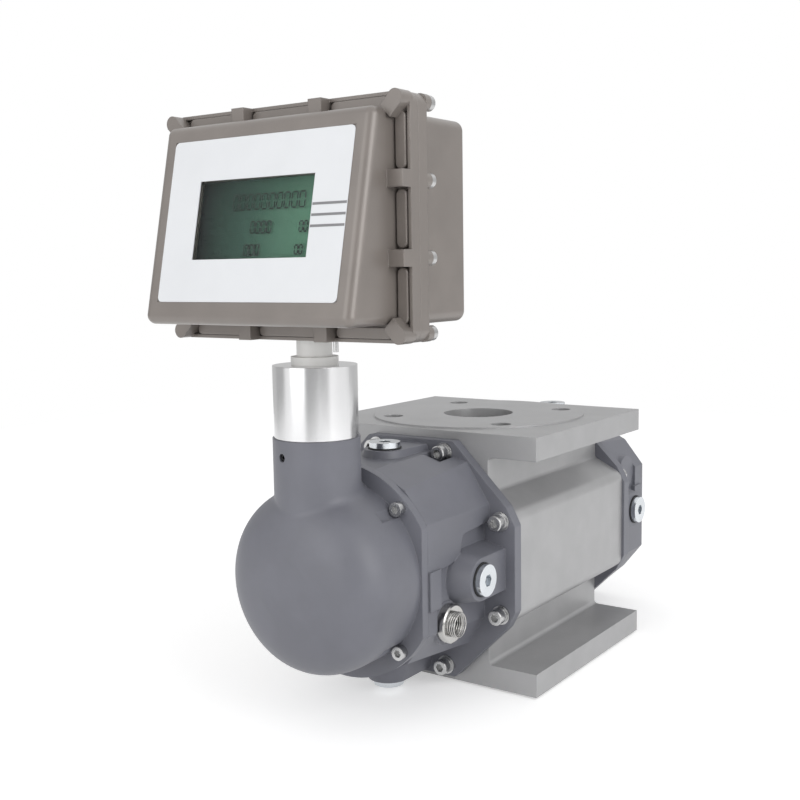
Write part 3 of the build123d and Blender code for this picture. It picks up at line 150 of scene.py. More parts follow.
# Lines left by a turning or brushing tool: long one way, fine the other
toolLines, given, out = newGroup(
    "toolLines",
    "ShaderNodeTree",
    {"Stretch": ("NodeSocketVector", (40, 40, 4000))},
    {"Height": "NodeSocketFloat"},
)
place = put(toolLines, "ShaderNodeTexCoord").outputs["Object"]
stretched = put(toolLines, "ShaderNodeVectorMath", {0: place, 1: given["Stretch"]}, operation="MULTIPLY")
drawn = put(toolLines, "ShaderNodeTexNoise", {"Vector": stretched.outputs[0], "Scale": 1.0, "Detail": 3.0})
toolLines.links.new(drawn.outputs[0], out["Height"])

# Concentric rings cut into a flange face round the bore
flangeRings, given, out = newGroup(
    "flangeRings",
    "ShaderNodeTree",
    {
        "Pitch": ("NodeSocketFloat", 1.6 * mm),
        "Inner": ("NodeSocketFloat", 37 * mm),
        "Outer": ("NodeSocketFloat", 54 * mm),
        "Face": ("NodeSocketFloat", 85 * mm),
        "Middle": ("NodeSocketFloat", 85.5 * mm),
    },
    {"Height": "NodeSocketFloat"},
)
place = put(flangeRings, "ShaderNodeSeparateXYZ", {0: put(flangeRings, "ShaderNodeTexCoord").outputs["Object"]})
across = maths(
    flangeRings,
    "SQRT",
    maths(
        flangeRings,
        "ADD",
        maths(flangeRings, "MULTIPLY", place.outputs[0], place.outputs[0]),
        maths(flangeRings, "MULTIPLY", place.outputs[1], place.outputs[1]),
    ),
)
reachOfTurn = maths(flangeRings, "DIVIDE", given["Pitch"], 2 * pi)
wave = maths(flangeRings, "SINE", maths(flangeRings, "DIVIDE", across, reachOfTurn))
insideOuter = maths(flangeRings, "LESS_THAN", across, given["Outer"])
outsideInner = maths(flangeRings, "GREATER_THAN", across, given["Inner"])
fromMiddle = maths(flangeRings, "ABSOLUTE", maths(flangeRings, "SUBTRACT", place.outputs[2], given["Middle"]))
onFace = maths(flangeRings, "GREATER_THAN", fromMiddle, given["Face"])
ringBand = maths(flangeRings, "MULTIPLY", maths(flangeRings, "MULTIPLY", insideOuter, outsideInner), onFace)
flangeRings.links.new(maths(flangeRings, "MULTIPLY", wave, ringBand), out["Height"])

# One entry for each finish: colour, colour where worn, roughness, metal, size of grain, depth of relief and
# radius of edges in mm, strength of wear, and how much the tone drifts where that isn't the usual 0.05
finishes = {
    "satinAluminium": dict(
        tint=(170, 170, 171), worn=(205, 205, 206), rough=0.4, metal=0.35, grain=0.35, relief=0.012, edge=0.7, wear=0.35
    ),
    "coverCasting": dict(
        tint=(112, 113, 121), worn=(142, 143, 150), rough=0.44, metal=0.0, grain=0.5, relief=0.03, edge=0.9, wear=0.35
    ),
    "boxPaint": dict(
        tint=(126, 119, 114), worn=(160, 153, 148), rough=0.36, metal=0.2, grain=0.7, relief=0.012, edge=0.9, wear=0.3
    ),
    "turnedAluminium": dict(
        tint=(224, 224, 225), worn=(240, 240, 240), rough=0.17, metal=1.0, grain=0.3, relief=0.001, edge=0.4, wear=0.2,
        tone=0.015,
    ),
    "stainless": dict(
        tint=(194, 194, 194), worn=(222, 222, 221), rough=0.27, metal=1.0, grain=0.25, relief=0.004, edge=0.25, wear=0.4
    ),
    "brightZinc": dict(
        tint=(214, 218, 222), worn=(235, 236, 238), rough=0.2, metal=1.0, grain=0.3, relief=0.004, edge=0.3, wear=0.3
    ),
    "nickel": dict(
        tint=(190, 189, 187), worn=(220, 219, 217), rough=0.22, metal=1.0, grain=0.3, relief=0.004, edge=0.3, wear=0.3
    ),
    "groundSteel": dict(
        tint=(178, 178, 180), worn=(210, 210, 212), rough=0.24, metal=1.0, grain=0.3, relief=0.003, edge=0.3, wear=0.3
    ),
    "bearingSteel": dict(
        tint=(150, 151, 154), worn=(190, 190, 192), rough=0.22, metal=1.0, grain=0.3, relief=0.003, edge=0.3, wear=0.3
    ),
    "blackSteel": dict(
        tint=(42, 42, 44), worn=(96, 96, 98), rough=0.42, metal=0.6, grain=0.3, relief=0.004, edge=0.25, wear=0.5
    ),
    "castIron": dict(
        tint=(112, 113, 116), worn=(150, 150, 152), rough=0.5, metal=0.7, grain=0.4, relief=0.02, edge=0.5, wear=0.35
    ),
    "hardAluminium": dict(
        tint=(120, 121, 120), worn=(170, 170, 170), rough=0.38, metal=0.7, grain=0.3, relief=0.006, edge=0.4, wear=0.4
    ),
    "brass": dict(
        tint=(196, 164, 96), worn=(222, 196, 132), rough=0.28, metal=1.0, grain=0.3, relief=0.004, edge=0.3, wear=0.3
    ),
    "sealRubber": dict(
        tint=(34, 34, 35), worn=(56, 56, 58), rough=0.72, metal=0.0, grain=0.3, relief=0.01, edge=0.3, wear=0.2
    ),
    "blackPlastic": dict(
        tint=(38, 39, 42), worn=(70, 71, 75), rough=0.46, metal=0.0, grain=0.35, relief=0.012, edge=0.4, wear=0.3
    ),
    "greenPlastic": dict(
        tint=(52, 132, 84), worn=(96, 164, 118), rough=0.4, metal=0.0, grain=0.35, relief=0.008, edge=0.4, wear=0.2
    ),
    "circuitBoard": dict(
        tint=(30, 92, 60), worn=(120, 130, 84), rough=0.34, metal=0.0, grain=0.8, relief=0.02, edge=0.2, wear=0.3
    ),
    "cellWrap": dict(
        tint=(178, 186, 182), worn=(200, 206, 204), rough=0.34, metal=0.0, grain=0.6, relief=0.006, edge=0.6, wear=0.2
    ),
    "labelFilm": dict(
        tint=(228, 230, 233), worn=(240, 241, 243), rough=0.34, metal=0.0, grain=0.4, relief=0.004, edge=0.2, wear=0.2,
        tone=0.012,
    ),
    "labelInk": dict(
        tint=(132, 132, 134), worn=(160, 160, 162), rough=0.4, metal=0.0, grain=0.4, relief=0.003, edge=0.05, wear=0.1
    ),
    "threadAluminium": dict(
        tint=(122, 121, 119), worn=(180, 179, 176), rough=0.4, metal=0.8, grain=0.3, relief=0.006, edge=0.1, wear=0.3
    ),
    "whiteNylon": dict(
        tint=(243, 243, 241), worn=(250, 250, 249), rough=0.4, metal=0.0, grain=0.5, relief=0.004, edge=0.4, wear=0.2,
        tone=0.01,
    ),
    "liquidCrystal": dict(
        tint=(24, 34, 34), worn=(34, 44, 44), rough=0.4, metal=0.0, grain=0.3, relief=0.002, edge=0.05, wear=0.1
    ),
}
usualTone = 0.05
toneSpread = dict(colourLow=0.35, colourHigh=0.65, roughLow=0.3, roughHigh=0.7, roughChange=0.06)
toolMarks = dict(strength=0.5, ringDepth=0.1, lineDepth=0.01)
paintCoat = dict(weight=0.5, roughness=0.3)
materials = {}


def makeFinish(name, facts):
    material = bpy.data.materials.new(name)
    material.use_nodes = True
    tree = material.node_tree
    shader = tree.nodes["Principled BSDF"]
    shader.inputs["Metallic"].default_value = facts["metal"]
    edges = put(tree, "ShaderNodeGroup", node_tree=softEdge)
    edges.inputs["Radius"].default_value = facts["edge"] * mm
    grain = put(tree, "ShaderNodeGroup", node_tree=surfaceGrain)
    grain.inputs["Grain Size"].default_value = facts["grain"] * mm
    tint = colour(*facts["tint"])
    tone = facts.get("tone", usualTone)
    deeper = tuple(c * (1 - tone) for c in tint[:3]) + (1,)
    lighter = tuple(min(1, c * (1 + tone)) for c in tint[:3]) + (1,)
    drift = remap(tree, grain.outputs["Tone"], toneSpread["colourLow"], toneSpread["colourHigh"], 0.0, 1.0)
    toned = blendColour(tree, drift, deeper, lighter)
    wear = maths(tree, "MULTIPLY", edges.outputs["Wear"], facts["wear"])
    tree.links.new(blendColour(tree, wear, toned, colour(*facts["worn"])), shader.inputs["Base Color"])
    smoothest, roughest = (facts["rough"] * (1 + side * toneSpread["roughChange"]) for side in (-1, 1))
    roughDrift = (toneSpread["roughLow"], toneSpread["roughHigh"], smoothest, roughest)
    tree.links.new(remap(tree, grain.outputs["Tone"], *roughDrift), shader.inputs["Roughness"])
    bump = put(tree, "ShaderNodeBump", {"Height": grain.outputs["Height"], "Normal": edges.outputs["Normal"]})
    bump.inputs["Strength"].default_value = 1.0
    bump.inputs["Distance"].default_value = facts["relief"] * mm
    tree.links.new(bump.outputs[0], shader.inputs["Normal"])
    materials[name] = material
    return tree, shader, bump


for name, facts in finishes.items():
    tree, shader, bump = makeFinish(name, facts)
    if name == "satinAluminium":
        rings = put(tree, "ShaderNodeGroup", node_tree=flangeRings)
        cut = put(tree, "ShaderNodeBump", {"Height": rings.outputs[0], "Normal": bump.outputs[0]})
        cut.inputs["Strength"].default_value = toolMarks["strength"]
        cut.inputs["Distance"].default_value = toolMarks["ringDepth"] * mm
        tree.links.new(cut.outputs[0], shader.inputs["Normal"])
    if name in ("turnedAluminium", "nickel", "groundSteel"):
        lines = put(tree, "ShaderNodeGroup", node_tree=toolLines)
        cut = put(tree, "ShaderNodeBump", {"Height": lines.outputs[0], "Normal": bump.outputs[0]})
        cut.inputs["Strength"].default_value = toolMarks["strength"]
        cut.inputs["Distance"].default_value = toolMarks["lineDepth"] * mm
        tree.links.new(cut.outputs[0], shader.inputs["Normal"])
    if name in ("boxPaint", "labelFilm"):
        shader.inputs["Coat Weight"].default_value = paintCoat["weight"]
        shader.inputs["Coat Roughness"].default_value = paintCoat["roughness"]
print("finishes made:", len(materials))

# Display glass: clear, with a faint haze, and a low index, so that it mirrors little of the white studio
paneFacts = dict(index=1.2, tints=((226, 236, 230), (246, 250, 248)), haze=(0.02, 0.06))
glass = bpy.data.materials.new("displayGlass")
glass.use_nodes = True
tree = glass.node_tree
shader = tree.nodes["Principled BSDF"]
shader.inputs["Transmission Weight"].default_value = 1.0
shader.inputs["IOR"].default_value = paneFacts["index"]
grain = put(tree, "ShaderNodeGroup", node_tree=surfaceGrain)
paneTints = [colour(*tint) for tint in paneFacts["tints"]]
tree.links.new(blendColour(tree, grain.outputs["Tone"], *paneTints), shader.inputs["Base Color"])
haze = remap(tree, grain.outputs["Tone"], toneSpread["roughLow"], toneSpread["roughHigh"], *paneFacts["haze"])
tree.links.new(haze, shader.inputs["Roughness"])
materials["displayGlass"] = glass

# Display face: grey-green, with a painted reflection: painted lighter to the lower right, and painted shade to the left
# and towards the top
screenFacts = dict(
    dark=(27, 33, 35), middle=(70, 95, 87), lit=(104, 144, 124), middleAt=0.42,
    left=-40 * mm, right=36 * mm, bottom=284 * mm, top=326 * mm,
    shadeFrom=0.55, shadeMost=0.45, specular=0.1, rough=(0.3, 0.4),
)
screen = bpy.data.materials.new("displayFace")
screen.use_nodes = True
tree = screen.node_tree
shader = tree.nodes["Principled BSDF"]
shader.inputs["Specular IOR Level"].default_value = screenFacts["specular"]
place = put(tree, "ShaderNodeSeparateXYZ", {0: put(tree, "ShaderNodeTexCoord").outputs["Object"]})
sideways = remap(tree, place.outputs[0], screenFacts["left"], screenFacts["right"], 0.0, 1.0)
upwards = remap(tree, place.outputs[2], screenFacts["bottom"], screenFacts["top"], 0.0, 1.0)
# Painted reflection: the ramp paints the face dark at the left, lighter towards the right
ramp = put(tree, "ShaderNodeValToRGB", {0: sideways})
ramp.color_ramp.elements[0].color = colour(*screenFacts["dark"])
ramp.color_ramp.elements[1].color = colour(*screenFacts["lit"])
ramp.color_ramp.elements.new(screenFacts["middleAt"]).color = colour(*screenFacts["middle"])
# Painted shade: the face is darkened towards its top
shade = remap(tree, upwards, screenFacts["shadeFrom"], 1.0, 0.0, screenFacts["shadeMost"])
tree.links.new(blendColour(tree, shade, ramp.outputs[0], colour(*screenFacts["dark"])), shader.inputs["Base Color"])
grain = put(tree, "ShaderNodeGroup", node_tree=surfaceGrain)
drift = remap(tree, grain.outputs["Tone"], toneSpread["roughLow"], toneSpread["roughHigh"], *screenFacts["rough"])
tree.links.new(drift, shader.inputs["Roughness"])
materials["displayFace"] = screen

# Which finish each node of the part takes
dressing = {
    "satinAluminium": "meter_body",
    "coverCasting": "front_cover rear_cover counter_cover",
    "boxPaint": "box_housing box_lid",
    "turnedAluminium": "display_tube",
    "stainless": (
        "cover_screws cover_washers spring_washers counter_cover_screws magnet_can box_bolts board_screws seal_screw"
    ),
    "brightZinc": "oil_plugs",
    "nickel": "port_bush drive_magnet follower_magnet",
    "whiteNylon": "box_nipple nipple_nut",
    "groundSteel": "shaft_right shaft_left counter_spindle timing_gear_right timing_gear_left oil_slinger",
    "bearingSteel": (
        "bearing_outer_rings bearing_inner_rings_right bearing_inner_rings_left gear_nut_right gear_nut_left"
    ),
    "blackSteel": "plate_screws neck_grub_screw",
    "castIron": "front_bearing_plate rear_bearing_plate",
    "hardAluminium": "rotor_right rotor_left",
    "brass": "spindle_bush counter_frame movement_screws",
    "sealRubber": "front_cover_seal rear_cover_seal plug_seals counter_cover_seal box_gasket",
    "blackPlastic": "pulse_sensor pulse_disc battery_tray",
    "greenPlastic": "terminal_block",
    "circuitBoard": "main_board terminal_board",
    "cellWrap": "battery_cells",
    "labelFilm": "label_plate",
    "displayFace": "display_module",
    "displayGlass": "window_pane",
}
for finish, names in dressing.items():
    for node in names.split():
        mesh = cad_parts[node].data
        mesh.materials.clear()
        mesh.materials.append(materials[finish])
dressed = sum(len(names.split()) for names in dressing.values())
print("nodes dressed:", dressed, "of", len(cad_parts))


# A geometry tree with named sizes, grown on the points of a small mesh
def newTree(name, sizes):
    inputs = {"Geometry": ("NodeSocketGeometry", None)}
    inputs.update({label: ("NodeSocketFloat", value) for label, value in sizes.items()})
    inputs["Finish"] = ("NodeSocketMaterial", None)
    return newGroup(name, "GeometryNodeTree", inputs, {"Geometry": "NodeSocketGeometry"})


def endTree(tree, shape, given, out):
    real = put(tree, "GeometryNodeRealizeInstances", {0: shape})
    dressedShape = put(tree, "GeometryNodeSetMaterial", {"Geometry": real.outputs[0], "Material": given["Finish"]})
    tree.links.new(dressedShape.outputs[0], out["Geometry"])


def grow(name, tree, sizes, finish, spots, facings=None, marks=None):
    mesh = bpy.data.meshes.new(name)
    mesh.from_pydata([tuple(spot) for spot in spots], [], [])
    if facings:
        facing = mesh.attributes.new("facing", "FLOAT_VECTOR", "POINT")
        for index, direction in enumerate(facings):
            facing.data[index].vector = direction
    for label, values in (marks or {}).items():
        mark = mesh.attributes.new(label, "FLOAT", "POINT")
        for index, value in enumerate(values):
            mark.data[index].value = value
    seed = bpy.data.objects.new(name, mesh)
    bpy.context.collection.objects.link(seed)
    modifier = seed.modifiers.new("grow", "NODES")
    modifier.node_group = tree
    for item in tree.interface.items_tree:
        if item.in_out == "INPUT" and item.name in sizes:
            modifier[item.identifier] = sizes[item.name]
        if item.in_out == "INPUT" and item.name == "Finish":
            modifier[item.identifier] = materials[finish]
    bpy.context.view_layer.update()
    grown = bpy.data.meshes.new_from_object(seed.evaluated_get(bpy.context.evaluated_depsgraph_get()))
    seed.modifiers.clear()
    seed.data = grown
    bpy.data.meshes.remove(mesh)
    seed.data.name = name
    return seed


def joinPieces(name, pieces):
    whole = bmesh.new()
    for piece in pieces:
        whole.from_mesh(piece.data)
    mesh = pieces[0].data.copy()
    whole.to_mesh(mesh)
    whole.free()
    mesh.name = name
    joined = bpy.data.objects.new(name, mesh)
    bpy.context.collection.objects.link(joined)
    for piece in pieces:
        bpy.data.objects.remove(piece)
    return joined


def ringOfCurve(tree, resolution, radius):
    return put(tree, "GeometryNodeCurvePrimitiveCircle", {"Resolution": resolution, "Radius": radius}).outputs[0]


def lift(tree, shape, height):
    offset = put(tree, "ShaderNodeCombineXYZ", {2: height}).outputs[0]
    return put(tree, "GeometryNodeTransform", {"Geometry": shape, "Translation": offset}).outputs[0]


# Socket head screw: chamfered head with a six-sided socket, on a plain shank
screwMesh = dict(headSides=36, shankSides=20, weld=0.03 * mm, socketMargin=1.08, shankDrop=-0.499)
socketScrew, given, out = newTree(
    "socketScrew",
    {"Head Radius": 5 * mm, "Head Height": 6 * mm, "Chamfer": 0.5 * mm, "Socket": 2.9 * mm, "Socket Depth": 3 * mm,
     "Shank Radius": 3 * mm, "Shank Length": 8 * mm},
)
crownRadius = maths(socketScrew, "SUBTRACT", given["Head Radius"], given["Chamfer"])
crown = ringOfCurve(socketScrew, screwMesh["headSides"], crownRadius)
hexagon = ringOfCurve(socketScrew, 6, given["Socket"])
both = put(socketScrew, "GeometryNodeJoinGeometry")
socketScrew.links.new(crown, both.inputs[0])
socketScrew.links.new(hexagon, both.inputs[0])
crownFace = put(socketScrew, "GeometryNodeFillCurve", {0: both.outputs[0]})
head = lift(socketScrew, crownFace.outputs[0], given["Head Height"])
spot = put(socketScrew, "ShaderNodeSeparateXYZ", {0: put(socketScrew, "GeometryNodeInputPosition").outputs[0]})
flatSpot = put(socketScrew, "ShaderNodeCombineXYZ", {0: spot.outputs[0], 1: spot.outputs[1]}).outputs[0]
reach = put(socketScrew, "ShaderNodeVectorMath", {0: flatSpot}, operation="LENGTH").outputs["Value"]
outward = put(socketScrew, "ShaderNodeVectorMath", {0: flatSpot}, operation="NORMALIZE").outputs[0]
faceCount = put(socketScrew, "GeometryNodeInputMeshEdgeNeighbors").outputs[0]
border = maths(socketScrew, "LESS_THAN", faceCount, 1.5)
pastSocket = maths(socketScrew, "MULTIPLY", given["Socket"], screwMesh["socketMargin"])
edgeOfHead = maths(socketScrew, "GREATER_THAN", reach, pastSocket)
outerBorder = maths(socketScrew, "MULTIPLY", border, edgeOfHead)
slant = put(socketScrew, "ShaderNodeVectorMath", {0: outward, "Scale": given["Chamfer"]}, operation="SCALE").outputs[0]
fall = put(socketScrew, "ShaderNodeCombineXYZ", {2: maths(socketScrew, "MULTIPLY", given["Chamfer"], -1.0)}).outputs[0]
bevelStep = put(socketScrew, "ShaderNodeVectorMath", {0: slant, 1: fall}, operation="ADD").outputs[0]
chamfered = put(
    socketScrew, "GeometryNodeExtrudeMesh", {"Mesh": head, "Selection": outerBorder, "Offset": bevelStep}, mode="EDGES"
)
sideDrop = maths(socketScrew, "SUBTRACT", given["Chamfer"], given["Head Height"])
sided = put(
    socketScrew,
    "GeometryNodeExtrudeMesh",
    {
        "Mesh": chamfered.outputs["Mesh"],
        "Selection": chamfered.outputs["Top"],
        "Offset": put(socketScrew, "ShaderNodeCombineXYZ", {2: sideDrop}).outputs[0],
    },
    mode="EDGES",
)
innerBorder = maths(socketScrew, "MULTIPLY", border, maths(socketScrew, "SUBTRACT", 1.0, edgeOfHead))
socketDrop = maths(socketScrew, "MULTIPLY", given["Socket Depth"], -1.0)
socketed = put(
    socketScrew,
    "GeometryNodeExtrudeMesh",
    {
        "Mesh": sided.outputs["Mesh"],
        "Selection": innerBorder,
        "Offset": put(socketScrew, "ShaderNodeCombineXYZ", {2: socketDrop}).outputs[0],
    },
    mode="EDGES",
)
floorFace = put(socketScrew, "GeometryNodeFillCurve", {0: hexagon}).outputs[0]
socketFloor = lift(
    socketScrew, floorFace, maths(socketScrew, "SUBTRACT", given["Head Height"], given["Socket Depth"])
)
rimOfHead = ringOfCurve(socketScrew, screwMesh["headSides"], given["Head Radius"])
under = put(socketScrew, "GeometryNodeFillCurve", {0: rimOfHead}).outputs[0]
underside = put(socketScrew, "GeometryNodeFlipFaces", {0: under}).outputs[0]
shankShape = put(
    socketScrew,
    "GeometryNodeMeshCylinder",
    {"Vertices": screwMesh["shankSides"], "Radius": given["Shank Radius"], "Depth": given["Shank Length"]},
)
shankDrop = maths(socketScrew, "MULTIPLY", given["Shank Length"], screwMesh["shankDrop"])
shank = lift(socketScrew, shankShape.outputs[0], shankDrop)
whole = put(socketScrew, "GeometryNodeJoinGeometry")
for shape in (socketed.outputs["Mesh"], socketFloor, underside):
    socketScrew.links.new(shape, whole.inputs[0])
welded = put(socketScrew, "GeometryNodeMergeByDistance", {"Geometry": whole.outputs[0], "Distance": screwMesh["weld"]})
screwShape = put(socketScrew, "GeometryNodeJoinGeometry")
socketScrew.links.new(welded.outputs[0], screwShape.inputs[0])
socketScrew.links.new(shank, screwShape.inputs[0])
facing = put(socketScrew, "GeometryNodeInputNamedAttribute", {"Name": "facing"}, data_type="FLOAT_VECTOR").outputs[0]
aimed = put(socketScrew, "FunctionNodeAlignRotationToVector", {"Vector": facing}, axis="Z").outputs[0]
spread = put(
    socketScrew,
    "GeometryNodeInstanceOnPoints",
    {"Points": given["Geometry"], "Instance": screwShape.outputs[0], "Rotation": aimed},
)
endTree(socketScrew, spread.outputs[0], given, out)


def everyWay(x, y):
    return [(i * x, j * y) for i in (-1, 1) for j in (-1, 1)]


# Screws that hold the two end covers
coverScrew = dict(sizes={
    "Head Radius": 5 * mm, "Head Height": 6 * mm, "Chamfer": 0.55 * mm, "Socket": 2.9 * mm, "Socket Depth": 3.2 * mm,
    "Shank Radius": 2.9 * mm, "Shank Length": 20 * mm,
}, spots=((27, 71.5), (69, 30.5)), seat=91.0, middle=85.5)
spots, facings = [], []
for side in (-1, 1):
    for x, z in coverScrew["spots"]:
        for i, j in everyWay(x, z):
            spots.append(Vector((i, side * coverScrew["seat"], j + coverScrew["middle"])) * mm)
            facings.append((0, side, 0))
coverScrews = grow("coverScrewSet", socketScrew, coverScrew["sizes"], "stainless", spots, facings)
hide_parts("cover_screws")
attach(coverScrews, "meter")
print("cover screws:", len(spots))

# Thread cut in a hole: a fine ridge that winds up its wall
holeThread, given, out = newTree(
    "holeThread", {"Radius": 7 * mm, "Pitch": 1.75 * mm, "Length": 20 * mm, "Ridge": 0.55 * mm}
)
turns = maths(holeThread, "DIVIDE", given["Length"], given["Pitch"])
helix = put(
    holeThread,
    "GeometryNodeCurveSpiral",
    {
        "Resolution": 20,
        "Rotations": turns,
        "Start Radius": given["Radius"],
        "End Radius": given["Radius"],
        "Height": given["Length"],
    },
).outputs[0]
ridge = ringOfCurve(holeThread, 4, given["Ridge"])
wound = put(
    holeThread, "GeometryNodeCurveToMesh", {"Curve": helix, "Profile Curve": ridge, "Fill Caps": True}
).outputs[0]
facing = put(holeThread, "GeometryNodeInputNamedAttribute", {"Name": "facing"}, data_type="FLOAT_VECTOR").outputs[0]
aimed = put(holeThread, "FunctionNodeAlignRotationToVector", {"Vector": facing}, axis="Z").outputs[0]
spread = put(
    holeThread, "GeometryNodeInstanceOnPoints", {"Points": given["Geometry"], "Instance": wound, "Rotation": aimed}
)
endTree(holeThread, spread.outputs[0], given, out)

flangeThread = dict(
    sizes={"Radius": 7.0 * mm, "Pitch": 2 * mm, "Length": 20 * mm, "Ridge": 0.6 * mm}, throw=44.19, top=171.0, inset=1.5
)
spots, facings = [], []
for x, y in everyWay(flangeThread["throw"], flangeThread["throw"]):
    spots += [Vector((x, y, flangeThread["inset"])) * mm]
    spots += [Vector((x, y, flangeThread["top"] - flangeThread["inset"])) * mm]
    facings += [(0, 0, 1), (0, 0, -1)]
flangeThreads = grow("flangeHoleThreads", holeThread, flangeThread["sizes"], "threadAluminium", spots, facings)
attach(flangeThreads, "meter")
portThread = dict(
    sizes={"Radius": 7.5 * mm, "Pitch": 1.5 * mm, "Length": 12 * mm, "Ridge": 0.5 * mm}, spot=(67.2, -134, 60.5)
)
portSpot = Vector(portThread["spot"]) * mm
portThreads = grow("portThread", holeThread, portThread["sizes"], "nickel", [portSpot], [(-1, 0, 0)])
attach(portThreads, "meter")
print("threads cut")

# The display face leans back: places on it are given across and up from its middle, in mm
lid = dict(topReach=224.0, bottomReach=248.5, halfHeight=56.2, middle=302.8, label=304.6)
lean = atan2(lid["bottomReach"] - lid["topReach"], 2 * lid["halfHeight"])
slope = (lid["bottomReach"] - lid["topReach"]) / (2 * lid["halfHeight"])
labelReach = lid["topReach"] + slope * (lid["middle"] + lid["halfHeight"] - lid["label"])


def onFace(across, up, out=0.0):
    y = -labelReach + up * sin(lean) - out * cos(lean)
    z = lid["label"] + up * cos(lean) + out * sin(lean)
    return Vector((across, y, z)) * mm


faceTurn = Matrix(((1, 0, 0), (0, sin(lean), -cos(lean)), (0, cos(lean), sin(lean)))).to_euler()

# Seven-bar digits: one bar for each point, upright where its mark says so
digitBar, given, out = newTree(
    "digitBar",
    {"Length": 3 * mm, "Width": 0.6 * mm, "Thickness": 0.05 * mm, "Turn X": 0.0, "Turn Y": 0.0, "Turn Z": 0.0},
)
stripSizes = {"Size X": given["Length"], "Size Y": given["Width"], "Vertices X": 4, "Vertices Y": 2}
strip = put(digitBar, "GeometryNodeMeshGrid", stripSizes).outputs[0]
spot = put(digitBar, "ShaderNodeSeparateXYZ", {0: put(digitBar, "GeometryNodeInputPosition").outputs[0]})
sideways = maths(digitBar, "ABSOLUTE", spot.outputs[0])
tipFrom = 0.3  # share of the length beyond which a point is a tip
isTip = maths(digitBar, "GREATER_THAN", sideways, maths(digitBar, "MULTIPLY", given["Length"], tipFrom))
notTip = maths(digitBar, "SUBTRACT", 1.0, isTip)
halfLength = maths(digitBar, "MULTIPLY", given["Length"], 0.5)
halfWidth = maths(digitBar, "MULTIPLY", given["Width"], 0.5)
shoulder = maths(digitBar, "SUBTRACT", halfLength, halfWidth)
inner = maths(digitBar, "MULTIPLY", maths(digitBar, "SIGN", spot.outputs[0]), shoulder)
atTip = maths(digitBar, "MULTIPLY", isTip, spot.outputs[0])
newX = maths(digitBar, "ADD", atTip, maths(digitBar, "MULTIPLY", notTip, inner))
newY = maths(digitBar, "MULTIPLY", spot.outputs[1], notTip)
reshaped = put(
    digitBar,
    "GeometryNodeSetPosition",
    {"Geometry": strip, "Position": put(digitBar, "ShaderNodeCombineXYZ", {0: newX, 1: newY}).outputs[0]},
).outputs[0]
pointed = put(digitBar, "GeometryNodeMergeByDistance", {"Geometry": reshaped, "Distance": 0.001 * mm}).outputs[0]
thick = put(
    digitBar,
    "GeometryNodeExtrudeMesh",
    {"Mesh": pointed, "Offset Scale": given["Thickness"], "Individual": False},
    mode="FACES",
).outputs["Mesh"]
upright = put(digitBar, "GeometryNodeInputNamedAttribute", {"Name": "upright"}, data_type="FLOAT").outputs[0]
spin = put(digitBar, "ShaderNodeCombineXYZ", {2: maths(digitBar, "MULTIPLY", upright, pi / 2)}).outputs[0]
faceAngles = put(
    digitBar, "ShaderNodeCombineXYZ", {0: given["Turn X"], 1: given["Turn Y"], 2: given["Turn Z"]}
).outputs[0]
placed = put(
    digitBar,
    "GeometryNodeInstanceOnPoints",
    {"Points": given["Geometry"], "Instance": thick, "Rotation": faceAngles},
).outputs[0]
turned = put(
    digitBar, "GeometryNodeRotateInstances", {"Instances": placed, "Rotation": spin, "Local Space": True}
).outputs[0]
endTree(digitBar, turned, given, out)

# Bars lit for each figure: top, upper left, upper right, middle, lower left, lower right, bottom
litBars = {
    "0": "1110111", "1": "0010010", "2": "1011101", "3": "1011011", "4": "0111010",
    "5": "1101011", "6": "1101111", "7": "1010010", "8": "1111111", "9": "1111011",
}
digitShape = dict(lengthShare=0.94, width=0.8, depth=-2.3)  # the figures lie behind the pane
digitRows = [
    dict(text="0000000000", left=-16.4, base=5.2, high=8.4, wide=3.7, gap=1.6),
    dict(text="0000", left=-1.5, base=-8.0, high=6.4, wide=2.9, gap=1.0),
    dict(text="00", left=33.0, base=-8.0, high=5.6, wide=2.4, gap=0.8),
    dict(text="000", left=-4.5, base=-20.0, high=5.6, wide=2.9, gap=1.0),
    dict(text="00", left=31.5, base=-20.0, high=4.8, wide=2.2, gap=0.8),
]
digitSets = []
for row in digitRows:
    spots, marks = [], []
    high, wide = row["high"], row["wide"]
    barSpots = [
        (wide / 2, high, 0), (0, high * 0.75, 1), (wide, high * 0.75, 1), (wide / 2, high / 2, 0),
        (0, high * 0.25, 1), (wide, high * 0.25, 1), (wide / 2, 0, 0),
    ]
    for index, figure in enumerate(row["text"]):
        start = row["left"] + index * (wide + row["gap"])
        for lit, (x, y, upright) in zip(litBars[figure], barSpots):
            if lit == "1":
                spots.append(onFace(start + x, row["base"] + y, digitShape["depth"]))
                marks.append(upright)
    sizes = {
        "Length": min(wide, high / 2) * digitShape["lengthShare"] * mm, "Width": digitShape["width"] * mm,
        "Turn X": faceTurn.x, "Turn Y": faceTurn.y, "Turn Z": faceTurn.z,
    }
    digitSets.append(grow("digitRow", digitBar, sizes, "liquidCrystal", spots, marks={"upright": marks}))
displayDigits = joinPieces("displayDigits", digitSets)
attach(displayDigits, "head")
print("display figures set")

